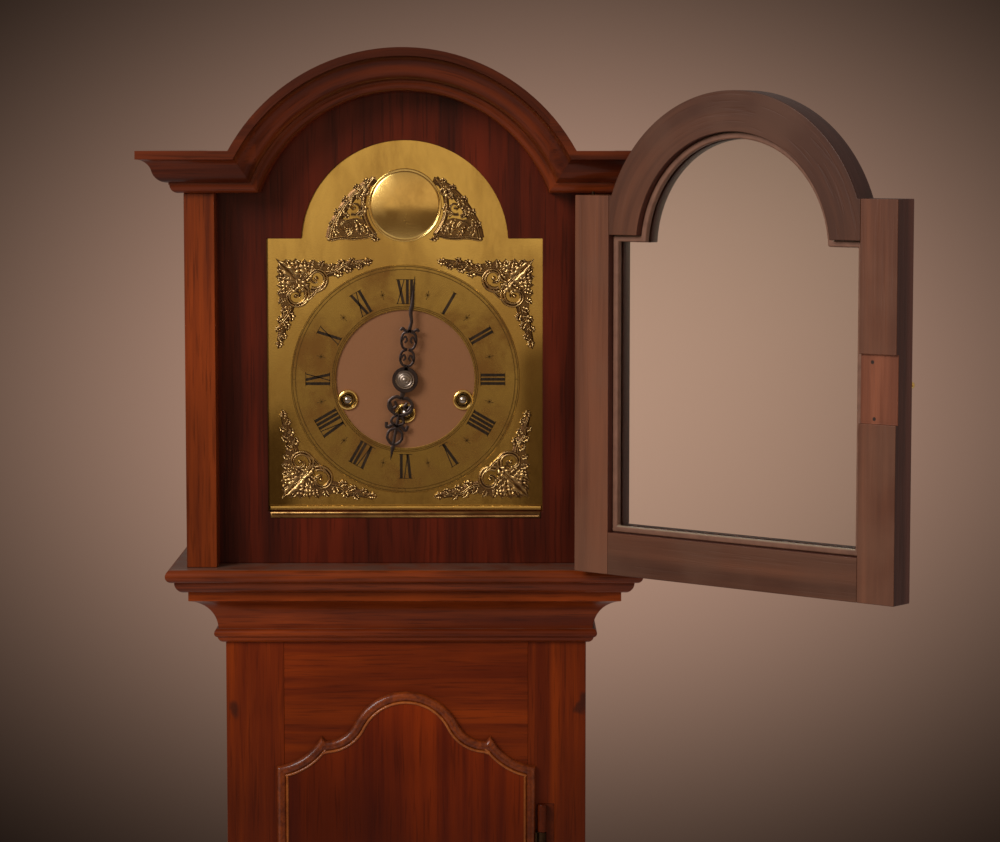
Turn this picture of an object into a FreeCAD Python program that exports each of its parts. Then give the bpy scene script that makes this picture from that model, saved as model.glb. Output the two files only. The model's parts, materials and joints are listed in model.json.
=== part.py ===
import FreeCAD, Part
import math
import os
import re
import Sketcher
from FreeCAD import Placement, Rotation, Vector

doc = FreeCAD.newDocument("GranddaughterClock")
S = doc.addObject("Spreadsheet::Sheet", "Sizes")

# Driving sizes, in millimetres and degrees, with tooth counts
SIZES = {
    # Base and plinth
    "case_depth": 188, "plinth_height": 75, "plinth_thick": 10, "plinth_edge": 12, "plinth_ledge": 3,
    "plinth_round": 8.4,
    "base_proud": 0.5, "base_top": 360, "base_board": 14, "bottom_thick": 12,
    "back_thick": 10,
    # Waist and trunk
    "waist_height": 45, "waist_reach": 27, "waist_nose": 9, "waist_cove": 23.8,
    "waist_cove_top": 36, "waist_fillet": 4, "waist_fillet_top": 40.5, "waist_quirk": 2.2,
    "trunk_inset": 25.5, "trunk_setback": 25.5,
    "trunk_height": 663.7, "trunk_tuck": 20, "trunk_side_thick": 12,
    "stile_width": 42.5, "stile_thick": 18, "throat_height": 40.7, "throat_reach": 24.8,
    "throat_start": 0.4, "throat_bead": 5.5, "throat_bead_low": 4.1, "throat_bead_top": 10.6,
    "throat_quirk": 4.9, "throat_cove_top": 33.7,
    # Hood
    "hood_base_height": 17.6, "hood_base_reach": 40, "hood_base_lap": 8.5, "hood_play": 1,
    "hood_base_nose": 7.8, "hood_base_soffit": 28.8, "hood_base_cove": 34,
    "hood_half": 157.5, "hood_reach": 25.5, "post_width": 22, "post_depth": 24,
    "post_height": 270.3, "hood_side_thick": 10, "hood_side_rise": 22.7,
    "arch_drop": 37.8, "arch_shoulder": 47, "arch_band": 26.5, "roof_thick": 5,
    "cornice_height": 30, "cornice_reach": 31, "cornice_step": 3.1, "cornice_ovolo": 9,
    "cornice_ovolo_top": 6, "cornice_quirk": 9.6, "cornice_fillet": 10, "cornice_cyma_low": 7.5,
    "cornice_cyma_top": 24, "mask_thick": 6, "mask_play": 0.5,
    # Hood door
    "door_open": 140, "door_proud": 4, "door_thick": 20, "door_lip": 8, "door_stile": 30,
    "door_sight_lip": 5, "door_rail": 30, "door_head_drop": 27.8, "door_head_band": 28,
    "door_gap_lock": 1.3, "door_gap_hinge": 0.5, "door_gap_level": 1, "door_gap_arch": 1.5,
    "pivot_forward": 1.5, "pin_radius": 1.2, "pin_bed": 5, "strap_thick": 1.5,
    "strap_eye": 3, "strap_length": 22, "strap_width": 10, "glass_thick": 2, "glass_play": 0.5,
    "bead_width": 4.5, "bead_thick": 5, "bead_play": 0.2,
    "recess_width": 30, "recess_height": 46, "recess_depth": 2.5, "recess_rise": 120,
    "pull_radius": 2.4, "pull_length": 6, "pull_rise": 145, "pull_inset": 4,
    # Trunk door
    "trunk_door_margin": 45, "trunk_door_drop": 92.1,
    "trunk_door_apex_drop": 36.7, "tip_half": 62, "tip_rise": 22.4, "tip_return_x": 3,
    "tip_return_z": 3.7, "scoop_sag": 5, "ogee_split": 0.357, "lip_width": 7.5,
    "lip_thick": 6, "lip_lap": 5.5, "panel_sink": 1.5,
    "knuckle_radius": 3.2, "knuckle_offset": 5, "knuckle_forward": 3.5, "hinge_pin": 1.5,
    "hinge_height": 60, "hinge_leaf": 1.2, "hinge_leaf_width": 12, "hinge_top_drop": 28.6,
    "hinge_low_rise": 60, "hinge_slit": 0.3, "lock_width": 40, "lock_height": 55,
    "lock_thick": 12, "lock_rise": 300, "lock_inset": 2, "escutcheon_radius": 7,
    "escutcheon_thick": 1.2, "keyhole_radius": 2, "keyhole_drop": 5,
    # Dial
    "dial_rise": 134.5, "window_half": 100, "window_drop": 96.5, "window_rise": 102.5,
    "window_arch_rise": 98.5, "window_arch": 75, "dial_margin": 2, "dial_thick": 2,
    "dial_gap": 0.3, "dial_hole": 3.5, "foot_radius": 3, "foot_inset": 13,
    "chapter_outer": 83.4, "chapter_inner": 50.6, "chapter_thick": 1.5,
    "boss_rise": 126.5, "boss_radius": 26.7, "boss_dome": 4,
    "spandrel_thick": 2.5, "spandrel_gap": 2.1, "spandrel_side": 94, "spandrel_top": 87.5,
    "spandrel_tip_x": 22, "spandrel_tip_z": 20.5, "ornament_half": 57, "ornament_inner": 14,
    "ornament_radius": 66, "ornament_rise": 100.5, "ornament_top": 143.5, "ornament_gap": 2,
    "winding_side": 42, "winding_side_drop": 15.1, "going_drop": 24.7,
    "winding_hole": 5, "winding_ring": 7.5, "ring_thick": 1,
    # Hands
    "hand_gap": 2, "hand_thick": 1, "hand_spacing": 1.5, "minute_length": 75.5,
    "hour_length": 60, "minute_angle": 5.5, "hour_angle": 190.5, "hand_boss": 6.5,
    "hand_neck": 2.2, "hand_swell": 5, "hand_collar": 3.5, "hand_taper": 1.3,
    "nut_radius": 5.5, "nut_height": 3.5,
    # Movement
    "motion_gap": 13.7, "plate_thick": 2.5, "plate_spacing": 58, "plate_half": 68,
    "plate_low": 50, "plate_high": 66, "pillar_radius": 4, "pillar_inset": 8,
    "seat_thick": 16, "seat_overhang": 3, "running_fit": 0.05,
    "arbor_radius": 1, "centre_radius": 1.5, "winding_radius": 3, "square_size": 4,
    "square_length": 4, "drum_radius": 18, "drum_length": 26, "wheel_thick": 1.6,
    "great_thick": 3, "pinion_length": 4, "great_teeth": 60, "great_pinion": 10,
    "great_module": 0.65, "inter_teeth": 45, "centre_pinion": 10, "inter_module": 0.8,
    "centre_teeth": 72, "third_pinion": 8, "centre_module": 0.5, "third_teeth": 80,
    "escape_pinion": 8, "third_module": 0.4, "escape_teeth": 30, "escape_radius": 14.5,
    "escape_depth": 3, "escape_rise": 36, "anchor_rise": 58, "anchor_hub": 3.5,
    "anchor_arm": 3, "pallet_gap": 1.2, "pallet_spread": 42, "inter_level": 5.5,
    "centre_level": 11.5, "third_level": 23.5, "going_level": 26.5, "escape_level": 43.5,
    "side_level": 49.5, "cannon_teeth": 12, "minute_teeth": 36, "motion_module": 0.5,
    "minute_pinion": 10, "hour_teeth": 40, "motion_thick": 2, "motion_lift": 1,
    "hour_pipe": 2.6, "minute_hub": 2, "stud_radius": 1.2,
    "tooth_addendum": 0.8, "tooth_dedendum": 1.1, "tooth_root": 0.27, "tooth_tip": 0.13,
    # Pendulum and crutch
    "pendulum_gap": 13, "pendulum_length": 441.7, "rod_radius": 2, "bob_radius": 50,
    "bob_thick": 24, "nut_disc_radius": 6, "nut_disc_height": 5, "rod_tail": 18,
    "spring_thick": 0.4, "spring_width": 5, "spring_height": 7, "slit_width": 1.4,
    "cock_half": 14, "cock_arm": 4, "cock_height": 12, "cock_lift": 2, "cock_back": 6,
    "crutch_radius": 1.2, "crutch_length": 60, "crutch_gap": 3, "fork_gap": 0.3,
    "fork_wall": 2, "fork_height": 5,
    # Gongs and hammers
    "gong_count": 5, "gong_first": 46, "gong_pitch": 12, "gong_radius": 2, "gong_length": 365,
    "gong_step": 14, "gong_stand": 18, "gong_block_high": 30, "gong_block_margin": 6,
    "gong_block_rise": 3.5, "hammer_gap": 1, "hammer_radius": 4, "hammer_length": 8,
    "hammer_drop": 12, "hammer_arm": 21, "hammer_arbor": 1.5, "hammer_stem": 1, "hammer_tilt": 5,
    "bracket_plate": 3, "bracket_margin": 9, "bracket_ear": 5,
}

# Levels and faces worked out from the driving sizes
DERIVED = {
    "base_half": "hood_half + base_proud",
    "trunk_half": "hood_half - trunk_inset",
    "arch_radius": "hood_half - arch_shoulder",
    "case_back": "case_depth / 2",
    "base_front": "plinth_thick - case_depth / 2",
    "back_front": "case_back - back_thick",
    "base_inside": "base_half - base_board",
    "trunk_front": "base_front + trunk_setback",
    "trunk_inside": "trunk_half - trunk_side_thick",
    "stile_inner": "trunk_half - stile_width",
    "stile_back": "trunk_front + stile_thick",
    "trunk_low": "base_top - trunk_tuck",
    "waist_top": "base_top + waist_height",
    "throat_low": "waist_top + trunk_height",
    "hood_seat": "throat_low + throat_height",
    "hood_floor": "hood_seat + hood_base_height",
    "post_top": "hood_floor + post_height",
    "side_top": "post_top + hood_side_rise",
    "roof_top": "side_top + roof_thick",
    "hood_front": "trunk_front - hood_reach",
    "post_back": "hood_front + post_depth",
    "post_inner": "hood_half - post_width",
    "hood_inside": "hood_half - hood_side_thick",
    "arch_centre": "post_top - arch_drop",
    "arch_outer": "arch_radius + arch_band",
    "roof_inner": "arch_outer - roof_thick",
    "mask_back": "post_back + mask_thick",
    "mask_half": "hood_inside - mask_play",
    "mask_shoulder": "side_top - mask_play",
    "mask_radius": "roof_inner - mask_play",
    "dial_height": "hood_floor + dial_rise",
    "window_low": "dial_height - window_drop",
    "window_shoulder": "dial_height + window_rise",
    "window_centre": "dial_height + window_arch_rise",
    "dial_front": "mask_back + dial_gap",
    "dial_back": "dial_front + dial_thick",
    "dial_half": "window_half + dial_margin",
    "dial_low": "window_low - dial_margin",
    "dial_shoulder": "window_shoulder + dial_margin",
    "dial_arch": "window_arch + dial_margin",
    "plate_front": "dial_back + motion_gap",
    "plate_inner": "plate_front + plate_thick",
    "back_plate": "plate_inner + plate_spacing",
    "plate_rear": "back_plate + plate_thick",
    "seat_top": "dial_height - plate_low",
    "seat_low": "seat_top - seat_thick",
    "seat_front": "plate_front - seat_overhang",
    "seat_back": "plate_rear + seat_overhang",
    "pendulum_y": "plate_rear + pendulum_gap",
    "swing_height": "dial_height + anchor_rise",
    "gong_y": "back_front - gong_stand",
    "gong_top": "seat_top + gong_block_rise",
    "door_left": "door_gap_lock - post_inner",
    "door_right": "post_inner - door_gap_hinge",
    "door_front": "hood_front - door_proud",
    "door_back": "door_front + door_thick",
    "door_low": "hood_floor + door_gap_level",
    "door_top": "post_top - door_gap_level",
    "door_radius": "arch_radius - door_gap_arch",
    "pivot_y": "door_front - pivot_forward",
    "rebate_half": "door_right - door_stile",
    "rebate_low": "door_low + door_rail",
    "rebate_shoulder": "door_top - door_head_drop",
    "rebate_radius": "door_radius - door_head_band",
    "sight_half": "rebate_half - door_sight_lip",
    "sight_low": "rebate_low + door_sight_lip",
    "sight_shoulder": "rebate_shoulder - door_sight_lip",
    "sight_radius": "rebate_radius - door_sight_lip",
    "glass_front": "door_front + door_lip",
    "glass_back": "glass_front + glass_thick",
    "glass_half": "rebate_half - glass_play",
    "glass_low": "rebate_low + glass_play",
    "glass_shoulder": "rebate_shoulder - glass_play",
    "glass_radius": "rebate_radius - glass_play",
    "bead_half": "rebate_half - bead_play",
    "bead_low": "rebate_low + bead_play",
    "bead_shoulder": "rebate_shoulder - bead_play",
    "bead_radius": "rebate_radius - bead_play",
    "bead_back": "glass_back + bead_thick",
    "bead_in_half": "bead_half - bead_width",
    "bead_in_low": "bead_low + bead_width",
    "bead_in_shoulder": "bead_shoulder - bead_width",
    "bead_in_radius": "bead_radius - bead_width",
    "trunk_door_half": "stile_inner + lip_lap",
    "trunk_door_low": "waist_top + trunk_door_margin",
    "trunk_door_corner": "throat_low - trunk_door_drop",
    "trunk_door_apex": "throat_low - trunk_door_apex_drop",
    "trunk_door_front": "trunk_front - lip_thick",
    "panel_front": "trunk_door_front + panel_sink",
    "panel_half": "trunk_door_half - lip_width",
    "opening_low": "trunk_door_low + lip_lap",
    "hinge_x": "trunk_door_half + knuckle_offset",
    "hinge_y": "trunk_front - knuckle_forward",
    "hour_module": "motion_module * (cannon_teeth + minute_teeth) / (minute_pinion + hour_teeth)",
    "motion_distance": "motion_module * (cannon_teeth + minute_teeth) / 2",
    "hour_hand_front": "dial_front - chapter_thick - hand_gap - hand_thick",
    "minute_hand_front": "hour_hand_front - hand_spacing - hand_thick",
}

for row, (name, number) in enumerate(SIZES.items(), start=1):
    S.set(f"A{row}", name)
    S.set(f"B{row}", str(number))
    S.setAlias(f"B{row}", name)
for row, (name, formula) in enumerate(DERIVED.items(), start=1):
    S.set(f"D{row}", name)
    S.set(f"E{row}", "=" + formula)
    S.setAlias(f"E{row}", name)
doc.recompute()
nodes = []


# Shared ways of making a piece

def bound(formula):
    """The formula with every size name pointed at the sheet."""
    return re.sub(r"[a-z][a-z_]*", lambda word: "Sizes." + word.group(), formula)


def board(name, x, y, z):
    """A plain board between a low and a high formula on each axis."""
    piece = doc.addObject("Part::Box", name)
    for side, axis, (low, high) in zip(("Length", "Width", "Height"), "xyz", (x, y, z)):
        piece.setExpression(side, bound(f"({high}) - ({low})"))
        piece.setExpression(f"Placement.Base.{axis}", bound(low))
    return piece


def across(formula):
    """Limits that run from one side of the middle to the other."""
    return (f"-({formula})", formula)


def rod(name, x, y, z, radius):
    """A round rod along Y between two formulas."""
    piece = doc.addObject("Part::Cylinder", name)
    piece.Placement.Rotation = Rotation(Vector(1, 0, 0), -90)
    piece.setExpression("Radius", bound(radius))
    piece.setExpression("Height", bound(f"({y[1]}) - ({y[0]})"))
    for axis, formula in zip("xyz", (x, y[0], z)):
        piece.setExpression(f"Placement.Base.{axis}", bound(formula))
    return piece


def upright(name, x, y, z, radius):
    """A round rod along Z between two formulas."""
    piece = doc.addObject("Part::Cylinder", name)
    piece.setExpression("Radius", bound(radius))
    piece.setExpression("Height", bound(f"({z[1]}) - ({z[0]})"))
    for axis, formula in zip("xyz", (x, y, z[0])):
        piece.setExpression(f"Placement.Base.{axis}", bound(formula))
    return piece


def grouped(name, pieces):
    """Separate solids kept as one named group."""
    group = doc.addObject("Part::Compound", name)
    group.Links = pieces
    return group


def both_sides(name, x, y, z):
    """A board and its mirror image across the middle."""
    mirrored = (f"-({x[1]})", f"-({x[0]})")
    return grouped(name, [board(name + "_l", mirrored, y, z), board(name + "_r", x, y, z)])


def cut(name, base, tool):
    """One piece with another taken out of it."""
    piece = doc.addObject("Part::Cut", name)
    piece.Base = base
    piece.Tool = tool
    return piece


def fused(name, pieces):
    """Several shapes made into one solid."""
    piece = doc.addObject("Part::MultiFuse", name)
    piece.Shapes = pieces
    return piece


def made(name, shape):
    """A piece whose shape is worked out below from the sheet."""
    piece = doc.addObject("Part::Feature", name)
    piece.Shape = shape
    return piece


def node(piece, name=None):
    """Names a finished sub-part and keeps it for export."""
    piece.Label = name or piece.Name
    nodes.append(piece)
    return piece


def bulge(degrees):
    """Bend of an arc that turns by this angle, left turns positive."""
    return math.tan(math.radians(degrees) / 4)


def outline(points, place):
    """A closed face through (u, v, bulge) points; each bulge bends the edge to the next point."""
    edges = []
    for (u, v, bend), (next_u, next_v, _) in zip(points, points[1:] + points[:1]):
        start = place(u, v)
        end = place(next_u, next_v)
        if bend == 0:
            edges.append(Part.LineSegment(start, end).toShape())
        else:
            mid_u = (u + next_u) / 2 + bend * (next_v - v) / 2
            mid_v = (v + next_v) / 2 - bend * (next_u - u) / 2
            edges.append(Part.Arc(start, place(mid_u, mid_v), end).toShape())
    return Part.Face(Part.Wire(edges))


def slab(points, front, back):
    """An outline in the XZ plane, thickened from one Y to another."""
    face = outline(points, lambda u, v: Vector(u, front, v))
    return face.extrude(Vector(0, back - front, 0))


def disc(x, z, radius, front, back):
    """A round bar along Y about a point of the XZ plane."""
    return Part.makeCylinder(radius, back - front, Vector(x, front, z), Vector(0, 1, 0))


def block(x, y, z):
    """A rectangular block between low and high numbers on each axis."""
    corner = Vector(x[0], y[0], z[0])
    return Part.makeBox(x[1] - x[0], y[1] - y[0], z[1] - z[0], corner)


def arch_over(level, centre, radius):
    """Half the span of an arch at a level, and the angle that it turns through above it."""
    rise = math.degrees(math.asin((level - centre) / radius))
    return radius * math.cos(math.radians(rise)), 180 - 2 * rise


def arch_outline(sketch, half, low, shoulder, centre, radius):
    """A break-arch outline, square below and round above, bound to five sizes of the sheet."""
    width, bottom, level, middle, bend = (S.get(name) for name in (half, low, shoulder, centre, radius))
    span, turn = arch_over(level, middle, bend)
    first = sketch.GeometryCount
    corners = [(-width, bottom), (width, bottom), (width, level), (span, level)]
    for start, end in zip(corners, corners[1:]):
        sketch.addGeometry(Part.LineSegment(Vector(*start), Vector(*end)))
    circle = Part.Circle(Vector(0, middle), Vector(0, 0, 1), bend)
    low_angle = math.radians(90 - turn / 2)
    sketch.addGeometry(Part.ArcOfCircle(circle, low_angle, math.pi - low_angle))
    corners = [(-span, level), (-width, level), (-width, bottom)]
    for start, end in zip(corners, corners[1:]):
        sketch.addGeometry(Part.LineSegment(Vector(*start), Vector(*end)))
    base, right, ledge, arc, left_ledge, left = range(first, first + 6)
    chain = [base, right, ledge, arc, left_ledge, left, base]
    for one, other in zip(chain, chain[1:]):
        sketch.addConstraint(Sketcher.Constraint("Coincident", one, 2, other, 1))
    for line in (ledge, left_ledge):
        sketch.addConstraint(Sketcher.Constraint("Horizontal", line))
    for line in (right, left):
        sketch.addConstraint(Sketcher.Constraint("Vertical", line))
    sketch.addConstraint(Sketcher.Constraint("PointOnObject", arc, 3, -2))
    sketch.addConstraint(Sketcher.Constraint("Symmetric", base, 1, base, 2, -2))
    sketch.addConstraint(Sketcher.Constraint("Horizontal", arc, 1, arc, 2))
    sized = [
        (("DistanceX", -1, 1, right, 2, width), half),
        (("DistanceY", -1, 1, base, 1, bottom), low),
        (("DistanceY", -1, 1, right, 2, level), shoulder),
        (("DistanceY", -1, 1, arc, 3, middle), centre),
        (("Radius", arc, bend), radius),
    ]
    for terms, name in sized:
        index = sketch.addConstraint(Sketcher.Constraint(*terms))
        sketch.setExpression(f"Constraints[{index}]", bound(name))


def arch_body(name, outlines, back, thick):
    """A flat break-arch board, with a second outline as its window where one is given."""
    body = doc.addObject("PartDesign::Body", name)
    sketch = body.newObject("Sketcher::SketchObject", name + "_outline")
    plane = next(item for item in body.Origin.OriginFeatures if item.Role == "XZ_Plane")
    sketch.AttachmentSupport = (plane, [""])
    sketch.MapMode = "FlatFace"
    for sizes in outlines:
        arch_outline(sketch, *sizes)
    pad = body.newObject("PartDesign::Pad", name + "_pad")
    pad.Profile = sketch
    pad.setExpression("Length", bound(thick))
    body.setExpression("Placement.Base.y", bound(back))
    return body


def mitred(profile, half, front, back, low, front_inset=0, side_inset=0):
    """A moulding round the front and sides of a case, as three runs with mitred corners.

    The profile is (reach, rise, bulge) points, reach measured outwards from the case faces.
    """
    reach = max(point[0] for point in profile) + S.case_depth
    inside = max(front_inset, 0)
    top = max(point[1] for point in profile) + low
    runs = []
    facing = [(u if u > 0 else -front_inset, v, bend) for u, v, bend in profile]
    face = outline(facing, lambda u, v: Vector(-half - reach, front - u, low + v))
    run = face.extrude(Vector(2 * (half + reach), 0, 0))
    plan = [(-half - reach, front - reach), (half + reach, front - reach),
            (half - inside, front + inside), (-half + inside, front + inside)]
    runs.append(run.common(prism(plan, low - 1, top + 1)))
    siding = [(u if u > 0 else -side_inset, v, bend) for u, v, bend in profile]
    for side in (-1, 1):
        face = outline(siding, lambda u, v: Vector(side * (half + u), front - reach, low + v))
        run = face.extrude(Vector(0, back - front + reach, 0))
        plan = [(side * (half + reach), front - reach), (side * (half + reach), back),
                (side * (half - inside), back), (side * (half - inside), front + inside)]
        runs.append(run.common(prism(plan, low - 1, top + 1)))
    return runs


def prism(plan, low, top):
    """An upright prism over a plan of (x, y) points."""
    corners = [Vector(x, y, low) for x, y in plan]
    face = Part.Face(Part.makePolygon(corners + corners[:1]))
    return face.extrude(Vector(0, 0, top - low))


# Base: bottom board, plinth, front and sides
node(board("bottom_board", across("base_inside"), ("base_front + base_board", "back_front"),
           ("0", "bottom_thick")))
plinth_top = S.plinth_height
edge_low = plinth_top - S.plinth_edge
plinth_profile = [
    (0, 0, 0), (S.plinth_thick, 0, 0), (S.plinth_thick, edge_low, bulge(90)),
    (S.plinth_ledge, edge_low + S.plinth_round, 0),
    (S.plinth_ledge, plinth_top, 0), (0, plinth_top, 0)]
node(made("plinth", Part.makeCompound(
    mitred(plinth_profile, S.base_half, S.base_front, S.case_back, 0))))
node(board("base_front_board", across("base_half"), ("base_front", "base_front + base_board"),
           ("0", "base_top")))
node(both_sides("base_sides", ("base_inside", "base_half"), ("base_front + base_board", "case_back"),
                ("0", "base_top")))

# Waist moulding between base and trunk, and throat moulding under the hood
waist_profile = [
    (0, 0, 0), (S.waist_reach, 0, bulge(154)), (S.waist_reach, S.waist_nose, 0),
    (S.waist_cove, S.waist_nose, bulge(-84)), (S.waist_fillet, S.waist_cove_top, 0),
    (S.waist_fillet, S.waist_fillet_top, bulge(60)),
    (S.waist_quirk, S.waist_height, 0), (0, S.waist_height, 0)]
node(made("waist_moulding", Part.makeCompound(
    mitred(waist_profile, S.trunk_half, S.trunk_front, S.case_back, S.base_top))))
throat = S.throat_height
throat_profile = [
    (0, 0, 0), (S.throat_start, 0, bulge(80)), (S.throat_bead, S.throat_bead_low, bulge(147)),
    (S.throat_bead, S.throat_bead_top, 0), (S.throat_quirk, S.throat_bead_top, bulge(-78)),
    (S.throat_reach, S.throat_cove_top, 0), (S.throat_reach, throat, 0), (0, throat, 0)]
node(made("throat_moulding", Part.makeCompound(
    mitred(throat_profile, S.trunk_half, S.trunk_front, S.case_back, S.throat_low))))


# Trunk door outline: square below, scooped shoulders and an ogee head

def door_face():
    """The trunk door's outer outline as a face in the XZ plane."""
    half, low, corner = S.trunk_door_half, S.trunk_door_low, S.trunk_door_corner
    apex = S.trunk_door_apex
    tip_x, tip_z = S.tip_half, corner + S.tip_rise
    foot_x, foot_z = tip_x - S.tip_return_x, tip_z - S.tip_return_z
    scoop = -2 * S.scoop_sag / math.hypot(half - tip_x, tip_z - corner)
    turn = bulge(2 * math.degrees(math.atan2(apex - foot_z, foot_x)))
    bend_x = foot_x * (1 - S.ogee_split)
    bend_z = foot_z + (apex - foot_z) * S.ogee_split
    points = [
        (-half, low, 0), (half, low, 0), (half, corner, scoop), (tip_x, tip_z, 0),
        (foot_x, foot_z, -turn), (bend_x, bend_z, turn), (0, apex, turn),
        (-bend_x, bend_z, -turn), (-foot_x, foot_z, 0), (-tip_x, tip_z, scoop),
        (-half, corner, 0)]
    return outline(points, lambda u, v: Vector(u, 0, v))


def door_slab(inset, front, back):
    """The door's outline drawn in by an inset, thickened between two Y values."""
    wire = door_face().OuterWire
    if inset:
        wire = wire.makeOffset2D(-inset, 2, False, False)
    face = Part.Face(wire)
    face.translate(Vector(0, front, 0))
    return face.extrude(Vector(0, back - front, 0))


# Trunk door hinges: two brass butts on the right, knuckles standing clear of the lip
knuckle = S.hinge_height / 3
hinge_lows = [S.trunk_door_low + S.hinge_low_rise,
              S.trunk_door_corner - S.hinge_top_drop - S.hinge_height]
fixed_leaves = []
door_leaves = []
for low in hinge_lows:
    top = low + S.hinge_height
    centre = Vector(S.hinge_x, S.hinge_y, low)
    leaf_left = S.hinge_x - S.knuckle_radius
    leaf_y = (S.trunk_front, S.trunk_front + S.hinge_leaf)
    fixed = block((leaf_left, leaf_left + S.hinge_leaf_width), leaf_y, (low, top))
    fixed = fixed.fuse(Part.makeCylinder(S.hinge_pin, S.hinge_height, centre))
    for start in (low, top - knuckle):
        fixed = fixed.fuse(Part.makeCylinder(S.knuckle_radius, knuckle,
                                             Vector(S.hinge_x, S.hinge_y, start)))
        web = (S.hinge_x - S.hinge_pin, S.hinge_x + S.hinge_pin)
        fixed = fixed.fuse(block(web, (S.hinge_y, leaf_y[1]), (start, start + knuckle)))
    fixed_leaves.append(fixed.removeSplitter())
    middle = (low + knuckle + S.hinge_slit, top - knuckle - S.hinge_slit)
    length = middle[1] - middle[0]
    eye = Vector(S.hinge_x, S.hinge_y, middle[0])
    moving = Part.makeCylinder(S.knuckle_radius, length, eye)
    edge = (S.trunk_door_half, S.trunk_door_half + S.hinge_leaf)
    moving = moving.fuse(block(edge, (S.trunk_door_front, S.trunk_front), middle))
    moving = moving.fuse(block((edge[0], S.hinge_x), (S.hinge_y - S.hinge_leaf / 2,
                                                      S.hinge_y + S.hinge_leaf / 2), middle))
    moving = moving.cut(Part.makeCylinder(S.hinge_pin + S.running_fit, length, eye))
    door_leaves.append(moving.removeSplitter())

# Trunk: sides, stiles with the hinge beds, rails and backboard
node(both_sides("trunk_sides", ("trunk_inside", "trunk_half"), ("stile_back", "back_front"),
                ("trunk_low", "seat_low")))
stile_boards = both_sides("stile_boards", ("stile_inner", "trunk_half"), ("trunk_front", "stile_back"),
                          ("trunk_low", "hood_seat"))
hinges_fixed = node(made("trunk_hinge_plates", Part.makeCompound(fixed_leaves)))
node(cut("trunk_stiles", stile_boards, hinges_fixed))
rail_low = board("rail_low", across("stile_inner"), ("trunk_front", "stile_back"),
                 ("trunk_low", "opening_low"))
rail_top = board("rail_top", across("stile_inner"), ("trunk_front", "stile_back"),
                 ("trunk_door_corner - lip_width", "hood_seat"))
door_opening = made("door_opening", door_slab(S.lip_lap, S.trunk_front, S.stile_back))
shaped_rail = cut("shaped_rail", rail_top, door_opening)
node(grouped("trunk_rails", [rail_low, shaped_rail]))
back_half = S.hood_inside - S.hood_play
back_level = S.side_top - S.hood_play
span, turn = arch_over(back_level, S.arch_centre, S.roof_inner - S.hood_play)
step = S.hood_floor + S.hood_play
right_edge = [(S.base_inside, 0, 0), (S.base_inside, S.base_top, 0), (S.trunk_half, S.base_top, 0),
              (S.trunk_half, step, 0), (back_half, step, 0), (back_half, back_level, 0)]
left_edge = [(-x, z, bend) for x, z, bend in reversed(right_edge)]
back_points = right_edge + [(span, back_level, bulge(turn)), (-span, back_level, 0)] + left_edge
node(made("backboard", slab(back_points, S.back_front, S.case_back)))
node(board("seatboard", across("trunk_half"), ("seat_front", "seat_back"), ("seat_low", "seat_top")))

# Trunk door: panel, lip moulding, hinge leaves and lock
panel_slab = door_slab(S.lip_width, S.panel_front, S.stile_back)
node(made("trunk_door_panel", panel_slab))
lip_slab = door_slab(0, S.trunk_door_front, S.trunk_front)
node(made("trunk_door_lip", lip_slab.cut(door_slab(S.lip_width, S.trunk_door_front, S.trunk_front))))
node(made("trunk_door_hinges", Part.makeCompound(door_leaves)))
lock_case = board("lock_case", ("lock_inset - panel_half", "lock_inset + lock_width - panel_half"),
                  ("stile_back", "stile_back + lock_thick"),
                  ("trunk_door_low + lock_rise", "trunk_door_low + lock_rise + lock_height"))
key_x = "lock_inset + lock_width / 2 - panel_half"
key_z = "trunk_door_low + lock_rise + lock_height / 2"
plate_y = ("panel_front - escutcheon_thick", "panel_front")
plate = rod("escutcheon_plate", key_x, plate_y, key_z, "escutcheon_radius")
keyhole = fused("keyhole", [
    rod("keyhole_round", key_x, plate_y, key_z, "keyhole_radius"),
    board("keyhole_slot", (f"{key_x} - keyhole_radius / 2", f"{key_x} + keyhole_radius / 2"),
          plate_y, (f"{key_z} - keyhole_drop", key_z))])
node(grouped("trunk_door_lock", [lock_case, cut("escutcheon", plate, keyhole)]))

# Hood base frame, posts, sides, arch board and roof
nose_reach = S.hood_base_reach - (S.hood_base_height - S.hood_base_nose) / 2
frame_profile = [
    (0, 0, 0), (S.hood_base_soffit, 0, bulge(70)), (S.hood_base_cove, S.hood_base_nose, 0),
    (nose_reach, S.hood_base_nose, bulge(180)), (nose_reach, S.hood_base_height, 0),
    (0, S.hood_base_height, 0)]
frame_runs = mitred(frame_profile, S.trunk_half, S.trunk_front, S.case_back, S.hood_seat,
                    S.hood_base_lap, -S.hood_play)
pivot = Vector(S.post_inner, S.pivot_y, 0)
pins = []
for low, top in ((S.hood_floor - S.pin_bed, S.door_low + S.strap_thick),
                 (S.door_top - S.strap_thick, S.post_top + S.pin_bed)):
    pins.append(Part.makeCylinder(S.pin_radius, top - low, pivot + Vector(0, 0, low)))
node(made("hood_base_frame", Part.makeCompound([run.cut(pins[0]) for run in frame_runs])))
node(both_sides("hood_posts", ("post_inner", "hood_half"), ("hood_front", "post_back"),
                ("hood_floor", "post_top")))
node(both_sides("hood_sides", ("hood_inside", "hood_half"), ("post_back", "case_back"),
                ("hood_floor", "side_top")))
spring, spring_turn = arch_over(S.post_top, S.arch_centre, S.arch_radius)
crown, crown_turn = arch_over(S.roof_top, S.arch_centre, S.arch_outer)
hood_half = S.hood_half
top_edge = [(hood_half, S.roof_top, 0), (crown, S.roof_top, bulge(crown_turn)),
            (-crown, S.roof_top, 0), (-hood_half, S.roof_top, 0)]
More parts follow.
